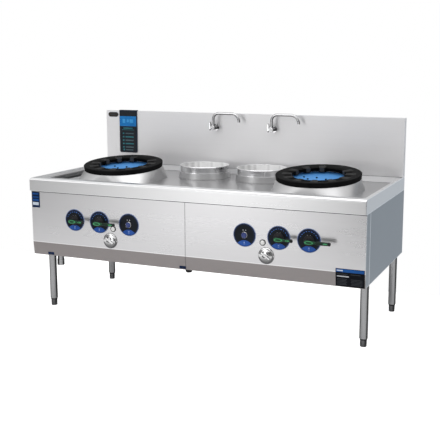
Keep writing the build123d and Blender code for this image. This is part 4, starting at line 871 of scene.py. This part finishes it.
for side in sides:
    name = f"valve_knob_{side}"
    x, y, z = pivots[name]
    back = panelFace - 0.0005
    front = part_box(name)[0].y
    dome = turned(f"{name}_dome", knob["dome"], (x, back, z), "cook", 72)
    finish(dome, knobChrome, name, "chrome", name, smooth=60)
    # a black ring round the dome's foot: painted shadow
    edge = turned(f"{name}_edge", hoop(*knob["edge"]), (x, back, z), "cook", 72)
    finish(edge, blackPlastic, name, "chrome")
    slots = []
    for dx, dz, length, wide, turn in knob["slots"]:
        place = (x + dx, back - knob["slotSunk"], z + dz)
        slots.append(bar("slot", place, (length, knob["slotDeep"], wide), (0, turn, 0)))
    finish(joined(f"{name}_slots", slots), blackPlastic, name, "chrome")
    # the dark arc: painted shade on the dome's lower side
    outer, inner = (arcPoints(x, z, knob[reach], knob[reach], knob["arcFrom"], knob["arcSweep"], 18)
                    for reach in ("arcOuter", "arcInner"))
    arc = plate(f"{name}_arc", outer + inner[::-1], back - knob["arcSunk"], knob["arcThick"])
    finish(arc, darkChrome, name, "chrome")
    postTop = back - front - 0.006
    post = turned(f"{name}_post", [(0, 0), (0.0150, 0), (0.0128, 0.0035), (0.0118, postTop), (0, postTop)],
                  (x, back - 0.0005, z), "cook", 48)
    finish(post, knobChrome, name, "chrome")
    grip = plate(f"{name}_bar", barOutline(x, z), front + knob["barSunk"], knob["barThick"])
    rounded(grip, knob["barEdge"], 4, 40)
    finish(grip, knobChrome, name, "chrome")
print("buttons, lamps and knobs done")

# status display: a blue head with light blobs, and rows of rules in place of the text
display = {
    "housingEdge": 0.0016, "windowEdge": 0.0006, "print": 0.0005,
    "headSide": 0.0025, "headLow": 1.044, "headHigh": 1.110, "headEdge": 0.0012, "blobThick": 0.0008,
    "blobs": ((-0.030, 1.078, 0.020, 0.026), (0.0, 1.080, 0.016, 0.018), (0.027, 1.078, 0.026, 0.024)),
    "rule": (0.012, 1.0185, 1.0215), "title": (0.035, 1.027, 1.035), "footRule": (0.040, 0.022, 0.884, 0.890),
    "rows": 5, "rowTop": 0.996, "rowStep": 0.0225,
    "rowMark": (0.018, 0.030, 0.005), "rowText": (0.038, 0.018, 0.004),
    "roundMark": (0.026, 0.888), "roundRadius": 0.0066,
}
low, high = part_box("display_housing")
windowLow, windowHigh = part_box("display_screen")
housing = finerCopy("display_housing", "displayHousing", display["housingEdge"], 3, 40)
finish(housing, displayPlastic, "cabinet", "display", "display_housing")
window = finerCopy("display_screen", "displayWindow", display["windowEdge"], 2, 40)
finish(window, screenGlass, "cabinet", "screen", "display_screen")
headBlue = mouldedPlastic("headBlue", (0.004, 0.16, 0.47), (0.008, 0.20, 0.56), 0.3, grainScale=120.0)
tealPrint = mouldedPlastic("tealPrint", (0.02, 0.14, 0.17), (0.035, 0.19, 0.22), 0.4, grainScale=120.0)
greyPrint = mouldedPlastic("greyPrint", (0.05, 0.09, 0.11), (0.08, 0.13, 0.15), 0.4, grainScale=120.0)
glow = mouldedPlastic("headGlow", (0.03, 0.30, 0.68), (0.07, 0.38, 0.78), 0.3, grainScale=120.0)
centreX = (low.x + high.x) / 2
faceY = windowLow.y
leftX, rightX = windowLow.x, windowHigh.x


def inset(x0, x1, z0, z1, thick=display["print"]):  # a thin field on the face of the window
    return plate("part", [(x0, z0), (x1, z0), (x1, z1), (x0, z1)], faceY + 0.0001, thick)


headLeft, headRight = low.x + display["headSide"], high.x - display["headSide"]
head = joined("displayHead", [inset(headLeft, headRight, display["headLow"], display["headHigh"])])
rounded(head, display["headEdge"], 2, 60)
finish(head, headBlue, "cabinet", "screen")
blobs = [inset(centreX + dx - w / 2, centreX + dx + w / 2, z - t / 2, z + t / 2, display["blobThick"])
         for dx, z, w, t in display["blobs"]]
finish(joined("displayHeadMarks", blobs), glow, "cabinet", "screen")
ruleSide, ruleLow, ruleHigh = display["rule"]
titleHalf, titleLow, titleHigh = display["title"]
rule = inset(leftX + ruleSide, rightX - ruleSide, ruleLow, ruleHigh)
title = inset(centreX - titleHalf, centreX + titleHalf, titleLow, titleHigh)
teal, grey = [rule, title], []
for row in range(display["rows"]):
    z = display["rowTop"] - row * display["rowStep"]
    markFrom, markTo, half = display["rowMark"]
    teal.append(inset(leftX + markFrom, leftX + markTo, z - half, z + half))
    textLeft, textRight, half = display["rowText"]
    text = inset(leftX + textLeft, rightX - textRight, z - half, z + half)
    (teal if row % 2 else grey).append(text)
footLeft, footRight, footLow, footHigh = display["footRule"]
grey.append(inset(leftX + footLeft, rightX - footRight, footLow, footHigh))
finish(joined("displayTealRows", teal), tealPrint, "cabinet", "screen")
finish(joined("displayGreyRows", grey), greyPrint, "cabinet", "screen")
roundX, roundZ = display["roundMark"]
radius = display["roundRadius"]
roundMark = turned("displayRoundMark",
                   [(0, 0.0006), (radius - 0.0004, 0.0006), (radius, 0.0002), (radius, 0), (0, 0)],
                   (leftX + roundX, faceY, roundZ), "cook", 32)
finish(roundMark, tealPrint, "cabinet", "screen")
print("display done")

labelBlack = mouldedPlastic("labelBlack", (0.002, 0.0025, 0.005), (0.004, 0.005, 0.008), 0.45,
                            grainScale=200.0, sheen=0.08)
labelBlue = mouldedPlastic("labelBlue", (0.010, 0.07, 0.26), (0.014, 0.09, 0.32), 0.4, grainScale=200.0,
                           sheen=0.1)
labelDeep = mouldedPlastic("labelDeep", (0.003, 0.014, 0.05), (0.005, 0.020, 0.07), 0.4, grainScale=200.0,
                           sheen=0.1)
labelPale = mouldedPlastic("labelPale", (0.55, 0.62, 0.72), (0.65, 0.72, 0.80), 0.4, grainScale=200.0)
labelGrey = mouldedPlastic("labelGrey", (0.035, 0.038, 0.045), (0.05, 0.055, 0.065), 0.4, grainScale=200.0,
                           sheen=0.1)
badgeBrown = mouldedPlastic("badgeBrown", (0.020, 0.014, 0.010), (0.032, 0.024, 0.018), 0.3,
                            grainScale=200.0, sheen=0.3)
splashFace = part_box("backsplash_front")[0].y
kick = {"bend": kickBend, "lean": 0.008, "foot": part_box("front_panel_left")[0].z}

# plain labels; each area is x from, x to, z from, z to
label = {
    "sheet": 0.0010, "print": 0.0003,
    "rating": (0.846, 0.997, 0.347, 0.441), "header": (0.848, 0.995, 0.423, 0.439),
    "headerMark": (0.852, 0.884, 0.428, 0.434), "lightLine": (0.853, 0.915, 0.398, 0.4035),
    "topRules": ((0.853, 0.908, 0.4115, 0.4145), (0.925, 0.975, 0.4115, 0.4145)),
    "rows": 5, "rowTop": 0.388, "rowStep": 0.0072, "rowTall": 0.0030,
    "leftRow": (0.853, 0.905), "rightRow": (0.925, 0.985),
    "sticker": (-0.997, -0.943, 0.626, 0.718), "stickerBlock": (-0.992, -0.951, 0.640, 0.657),
    "stickerRules": ((-0.992, -0.950, 0.702, 0.711), (-0.992, -0.950, 0.684, 0.690),
                     (-0.992, -0.950, 0.665, 0.675)),
    "tags": ((-0.902, -0.861, 0.349, 0.365), (-0.039, -0.001, 0.349, 0.365)),
    "tagRule": (0.014, 0.0065, 0.0085),
}


def faceAt(z):  # the front face of the panels, which leans inwards under the bend
    return panelFace + kick["lean"] * max(0.0, kick["bend"] - z) / (kick["bend"] - kick["foot"])


def onPanel(name, x0, x1, z0, z1, thick, off=0.0):
    heights = [z0] + ([kick["bend"]] if z0 < kick["bend"] < z1 else []) + [z1]
    outer = [(x0, faceAt(z) - off - thick, z) for z in heights]
    inner = [(x0, faceAt(z) - off, z) for z in reversed(heights)]
    return prism(name, outer + inner, (x1 - x0, 0, 0))


def printed(name, areas, material, off):
    fields = [onPanel("area", *area, label["print"], off) for area in areas]
    finish(joined(name, fields), material, "cabinet", "black")


sheet = label["sheet"]
finish(onPanel("ratingPlate", *label["rating"], sheet), labelBlack, "cabinet", "black")
printed("ratingHeader", [label["header"]], labelBlue, sheet)
printed("ratingMark", [label["headerMark"]], labelPale, sheet + label["print"])
rules = list(label["topRules"])
for row in range(label["rows"]):
    z = label["rowTop"] - row * label["rowStep"]
    leftFrom, leftTo = label["leftRow"]
    rightFrom, rightTo = label["rightRow"]
    rules.append((leftFrom, leftTo - 0.004 * (row % 2), z - label["rowTall"], z))
    rules.append((rightFrom + 0.003 * (row % 2), rightTo, z - label["rowTall"], z))
printed("ratingRules", rules, labelGrey, sheet)
printed("ratingLine", [label["lightLine"]], printWhite, sheet)
finish(onPanel("sideSticker", *label["sticker"], sheet), labelDeep, "cabinet", "black")
printed("stickerRules", label["stickerRules"], labelBlue, sheet)
printed("stickerBlock", [label["stickerBlock"]], labelPale, sheet)
tagSide, tagLow, tagHigh = label["tagRule"]
for count, (x0, x1, z0, z1) in enumerate(label["tags"]):
    finish(onPanel(f"tag{count}", x0, x1, z0, z1, sheet), labelDeep, "cabinet", "black")
    printed(f"tagRule{count}", [(x0 + tagSide, x1 - tagSide, z0 + tagLow, z0 + tagHigh)], labelGrey, sheet)

badge = {"centre": (-0.946, 1.119), "half": 0.023, "rim": (0.0165, 0.0008), "field": (0.0150, 0.0014),
         "markHalf": 0.016, "mark": (0.0035, 0.0017)}


def pill(name, half, radius, thick):  # a bar with round ends on the backsplash, plain and without words
    centreX, centreZ = badge["centre"]
    right = arcPoints(centreX + half, centreZ, radius, radius, -90, 180, 12)
    left = arcPoints(centreX - half, centreZ, radius, radius, 90, 180, 12)
    return plate(name, right + left, splashFace, thick)


finish(pill("badgeRim", badge["half"], *badge["rim"]), labelPale, "cabinet", "black")
finish(pill("badgeField", badge["half"], *badge["field"]), badgeBrown, "cabinet", "black")
finish(pill("badgeMark", badge["markHalf"], *badge["mark"]), labelGrey, "cabinet", "black")

# a thin painted shadow line under the worktop's apron, and the thin dark joint between the front panels
seam = {"halfLength": 0.9995, "high": 0.0030, "low": 0.0062, "halfGap": 0.0011, "thick": 0.0004}
jointDark = mouldedPlastic("jointDark", (0.06, 0.06, 0.065), (0.09, 0.09, 0.095), 0.6, grainScale=200.0)
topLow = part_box("worktop")[0].z
# the first line is painted shadow under the apron; the second is the joint between the panels
seams = [
    onPanel("line", -seam["halfLength"], seam["halfLength"], topLow - seam["low"], topLow - seam["high"],
            seam["thick"]),
    onPanel("line", -seam["halfGap"], seam["halfGap"], kick["foot"] + 0.001, topLow - seam["low"],
            seam["thick"]),
]
finish(joined("panelSeams", seams), jointDark, "cabinet", "black")

# painted highlight: thin strips of a lighter steel on the recess walls, and a thin dark line under the backsplash
upstand = {
    "low": 0.7665, "high": 0.7985, "thick": 0.0005,
    "backFrom": -0.903, "backTo": 0.976, "backY": 0.4318,
    "leftX": -0.978, "leftFrom": -0.364, "leftTo": 0.428, "leftLow": 0.7815,
    "beadLength": 1.99, "beadZ": 0.8008, "beadTall": 0.0016, "beadThick": 0.0006,
}
low, high = upstand["low"], upstand["high"]
left, right = upstand["backFrom"], upstand["backTo"]
strip = plate("upstandBack", [(left, low), (right, low), (right, high), (left, high)], upstand["backY"],
              upstand["thick"])
finish(strip, upstandSteel, "cabinet", "sheet")
x, front, back, low = upstand["leftX"], upstand["leftFrom"], upstand["leftTo"], upstand["leftLow"]
strip = prism("upstandLeft", [(x, front, low), (x, back, low), (x, back, high), (x, front, high)],
              (upstand["thick"], 0, 0))
finish(strip, upstandSteel, "cabinet", "sheet")
footLine = bar("backBead", (0.0, splashFace - upstand["beadThick"] / 2, upstand["beadZ"]),
           (upstand["beadLength"], upstand["beadThick"], upstand["beadTall"]))
finish(footLine, jointDark, "cabinet", "black")
print("plates done")

# rear pots: rolled lip, polished outside, satin inside
pot = {"radius": 0.148, "wall": 0.0015, "lipRoll": 0.0034, "bevel": 0.012, "shoulder": 0.004,
       "shoulderHeight": 0.003}
for side in sides:
    name = f"tail_pot_{side}"
    low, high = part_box(name)
    x, y, z = middle(name)
    radius, wall, roll, bevel, rim = pot["radius"], pot["wall"], pot["lipRoll"], pot["bevel"], high.z - low.z
    shoulder, step = radius + pot["shoulder"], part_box("worktop")[1].z - low.z
    rollX = (high.x - low.x) / 2 - roll
    outside = [(0, 0), (radius - bevel, 0), (radius - bevel * 0.3, bevel * 0.3), (radius, bevel),
               (radius, step), (shoulder, step), (shoulder, step + pot["shoulderHeight"]),
               (radius, step + pot["shoulderHeight"] + 0.001), (radius, rim - roll * 2)]
    outside += arcPoints(rollX, rim - roll, roll, roll, -80, 170, 9)
    outside += [(radius + 0.0005, rim - 0.0004), (radius - wall, rim - 0.0016)]
    inside = [(radius - wall, rim - 0.0016), (radius - wall, bevel),
              (radius - bevel * 0.35, bevel * 0.35 + wall), (radius - bevel, wall), (0, wall)]
    shell = turned(f"{name}_outside", outside, (x, y, low.z), "up", 96)
    finish(shell, potSteel, name, "polished", name, smooth=50)
    lining = turned(f"{name}_inside", inside, (x, y, low.z), "up", 96)
    finish(lining, potInside, name, "polished", smooth=50)
print("rear pots done")

# taps: a dark ring round a light button on the body's end
tap = {"ring": (0.0082, 0.0112, 0, 0.0003), "button": 0.0060, "dropFromHandle": 0.036}
for side in sides:
    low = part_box(f"faucet_body_{side}")[0]
    x, z = middle(f"faucet_body_{side}")[0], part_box(f"faucet_handle_{side}")[1].z - tap["dropFromHandle"]
    radius = tap["button"]
    tapRing = turned(f"tapRing_{side}", hoop(*tap["ring"]), (x, low.y, z), "cook", 40)
    finish(tapRing, blackPlastic, "cabinet", "chrome")
    tapButton = turned(f"tapButton_{side}",
                       [(0, 0.0016), (radius * 0.6, 0.0014), (radius, 0.0006), (radius, 0), (0, 0)],
                       (x, low.y, z), "cook", 40)
    finish(tapButton, chromeFinish, "cabinet", "chrome", smooth=60)

# levelling feet: a knurled band and a dark ring under the leg
foot = {"bars": 30, "low": 0.0140, "high": 0.0365, "proud": 0.0005, "ribWidth": 0.0016,
        "ring": 0.0196, "ringLow": 0.0370, "ringHigh": 0.0445}
for place in ("front_left", "front_right", "rear_left", "rear_right"):
    low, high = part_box(f"foot_{place}")
    x, y, z = middle(f"foot_{place}")
    radius = (high.x - low.x) / 2
    ribs = []
    for i in range(foot["bars"]):
        angle = math.tau * i / foot["bars"]
        spot = (x + radius * math.cos(angle), y + radius * math.sin(angle), (foot["low"] + foot["high"]) / 2)
        size = (2 * foot["proud"], foot["ribWidth"], foot["high"] - foot["low"])
        ribs.append(bar("rib", spot, size, (0, 0, angle)))
    finish(joined(f"footKnurl_{place}", ribs), footSteel, f"foot_{place}", "foot")
    ringProfile = hoop(radius - foot["proud"], foot["ring"], foot["ringLow"], foot["ringHigh"])
    footRing = turned(f"footRing_{place}", ringProfile, (x, y, 0), "up", 40)
    finish(footRing, blackPlastic, f"foot_{place}", "foot")
print("taps and feet done")

# walls: a tone for each way round the room, in degrees; each light has place, target, size and watts
studio = {
    "floorSize": (7.0, 3.4, 1), "floorCentre": (0, -0.9, 0), "floorGlow": 0.08, "floorSeen": 0.75,
    "ceiling": 1.0, "roomStrength": 1.0, "peak": 2.0, "cool": 0.07, "coolFrom": 150,
    "walls": ((-180, 0.33), (-150, 0.32), (-125, 0.04), (-98, 0.03), (-84, 0.2), (-55, 0.22), (-42, 0.05),
              (-30, 0.16), (5, 0.04), (13, 0.05), (18, 0.60), (22, 1.0), (27, 0.92), (33, 0.20), (44, 0.10),
              (60, 0.2), (70, 0.03), (82, 0.18), (110, 0.18), (122, 0.04), (140, 0.14), (160, 0.32),
              (180, 0.33)),
    "keyLight": ((-3.2, -3.6, 3.4), (0, 0, 0.6), (2.6, 2.0), 17),
    "topLight": ((0.4, -0.6, 4.2), (0, 0, 0.7), (4.0, 3.0), 60),
    "fillLight": ((-0.45, -3.1, 0.90), (0.5, 0.4, 1.0), (1.6, 0.4), 3.0),
    "sideLight": ((4.5, -1.5, 2.4), (0, 0, 0.6), (2.0, 2.0), 6),
    "camera": (1.972, -4.362, 1.474), "pitch": 80.36, "yaw": 23.05, "sensor": 36.0,
    "lens": 67.9, "shift": (-0.0334, -0.0425),
}

bpy.ops.mesh.primitive_plane_add(size=1, location=studio["floorCentre"])
floor = bpy.context.object
floor.name = "studioFloor"
floor.scale = studio["floorSize"]
settle(floor)
floorMaterial, tree, shader = newMaterial("paleFloor")
tone = rampOf(tree, noiseAt(tree, 3.0), ((0.3, (0.74, 0.74, 0.74)), (0.7, (0.78, 0.78, 0.78))))
tree.links.new(tone, shader.inputs["Base Color"])
shader.inputs["Roughness"].default_value = 0.9
shader.inputs["Emission Color"].default_value = (1, 1, 1, 1)
path = tree.nodes.new("ShaderNodeLightPath")
floorLight = rangeOf(tree, path.outputs["Is Camera Ray"], 0.0, 1.0, studio["floorGlow"], studio["floorSeen"])
tree.links.new(floorLight, shader.inputs["Emission Strength"])
floor.data.materials.append(floorMaterial)
floor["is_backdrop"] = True

world = bpy.data.worlds.new("studioWorld")
bpy.context.scene.world = world
world.use_nodes = True
tree = world.node_tree
background = tree.nodes["Background"]
direction = tree.nodes.new("ShaderNodeTexCoord")
split = tree.nodes.new("ShaderNodeSeparateXYZ")
tree.links.new(direction.outputs["Generated"], split.inputs["Vector"])
turnLeft = mathOf(tree, "ARCTAN2", mathOf(tree, "MULTIPLY", split.outputs["X"], -1.0),
                  mathOf(tree, "MULTIPLY", split.outputs["Y"], -1.0))
around = rangeOf(tree, turnLeft, -math.pi, math.pi, 0.0, 1.0)
cool = [studio["cool"] if abs(angle) >= studio["coolFrom"] else 0.0 for angle, tone in studio["walls"]]
walls = rampOf(tree, around, [(0.5 + angle / 360, (tone * (1 - blue), tone, tone * (1 + blue)))
                              for (angle, tone), blue in zip(studio["walls"], cool)])
walls = mixOf(tree, 1.0, walls, (studio["peak"],) * 3, "MULTIPLY")
overhead = rangeOf(tree, split.outputs["Z"], 0.2, 0.6, 0.0, 1.0)
room = mixOf(tree, overhead, walls, (studio["ceiling"],) * 3)
seen = tree.nodes.new("ShaderNodeLightPath")
tree.links.new(mixOf(tree, seen.outputs["Is Camera Ray"], room, (1.0, 1.0, 1.0)), background.inputs["Color"])
background.inputs["Strength"].default_value = studio["roomStrength"]


def softBox(name, place, target, size, power):
    light = bpy.data.lights.new(name, "AREA")
    light.shape = "RECTANGLE"
    light.size, light.size_y = size
    light.energy = power
    box = bpy.data.objects.new(name, light)
    bpy.context.scene.collection.objects.link(box)
    box.location = place
    box.rotation_euler = (Vector(target) - Vector(place)).to_track_quat("-Z", "Y").to_euler()


for lightName in ("keyLight", "topLight", "fillLight", "sideLight"):
    softBox(lightName, *studio[lightName])

camera = bpy.data.objects.new("studioCamera", bpy.data.cameras.new("studioCamera"))
bpy.context.scene.collection.objects.link(camera)
camera.location = studio["camera"]
camera.rotation_euler = (math.radians(studio["pitch"]), 0, math.radians(studio["yaw"]))
camera.data.sensor_width = studio["sensor"]
camera.data.lens = studio["lens"]
camera.data.shift_x, camera.data.shift_y = studio["shift"]
camera.data.clip_end = 100
bpy.context.scene.camera = camera
bpy.context.scene.view_settings.view_transform = "Standard"
print("studio ready")

low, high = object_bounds()
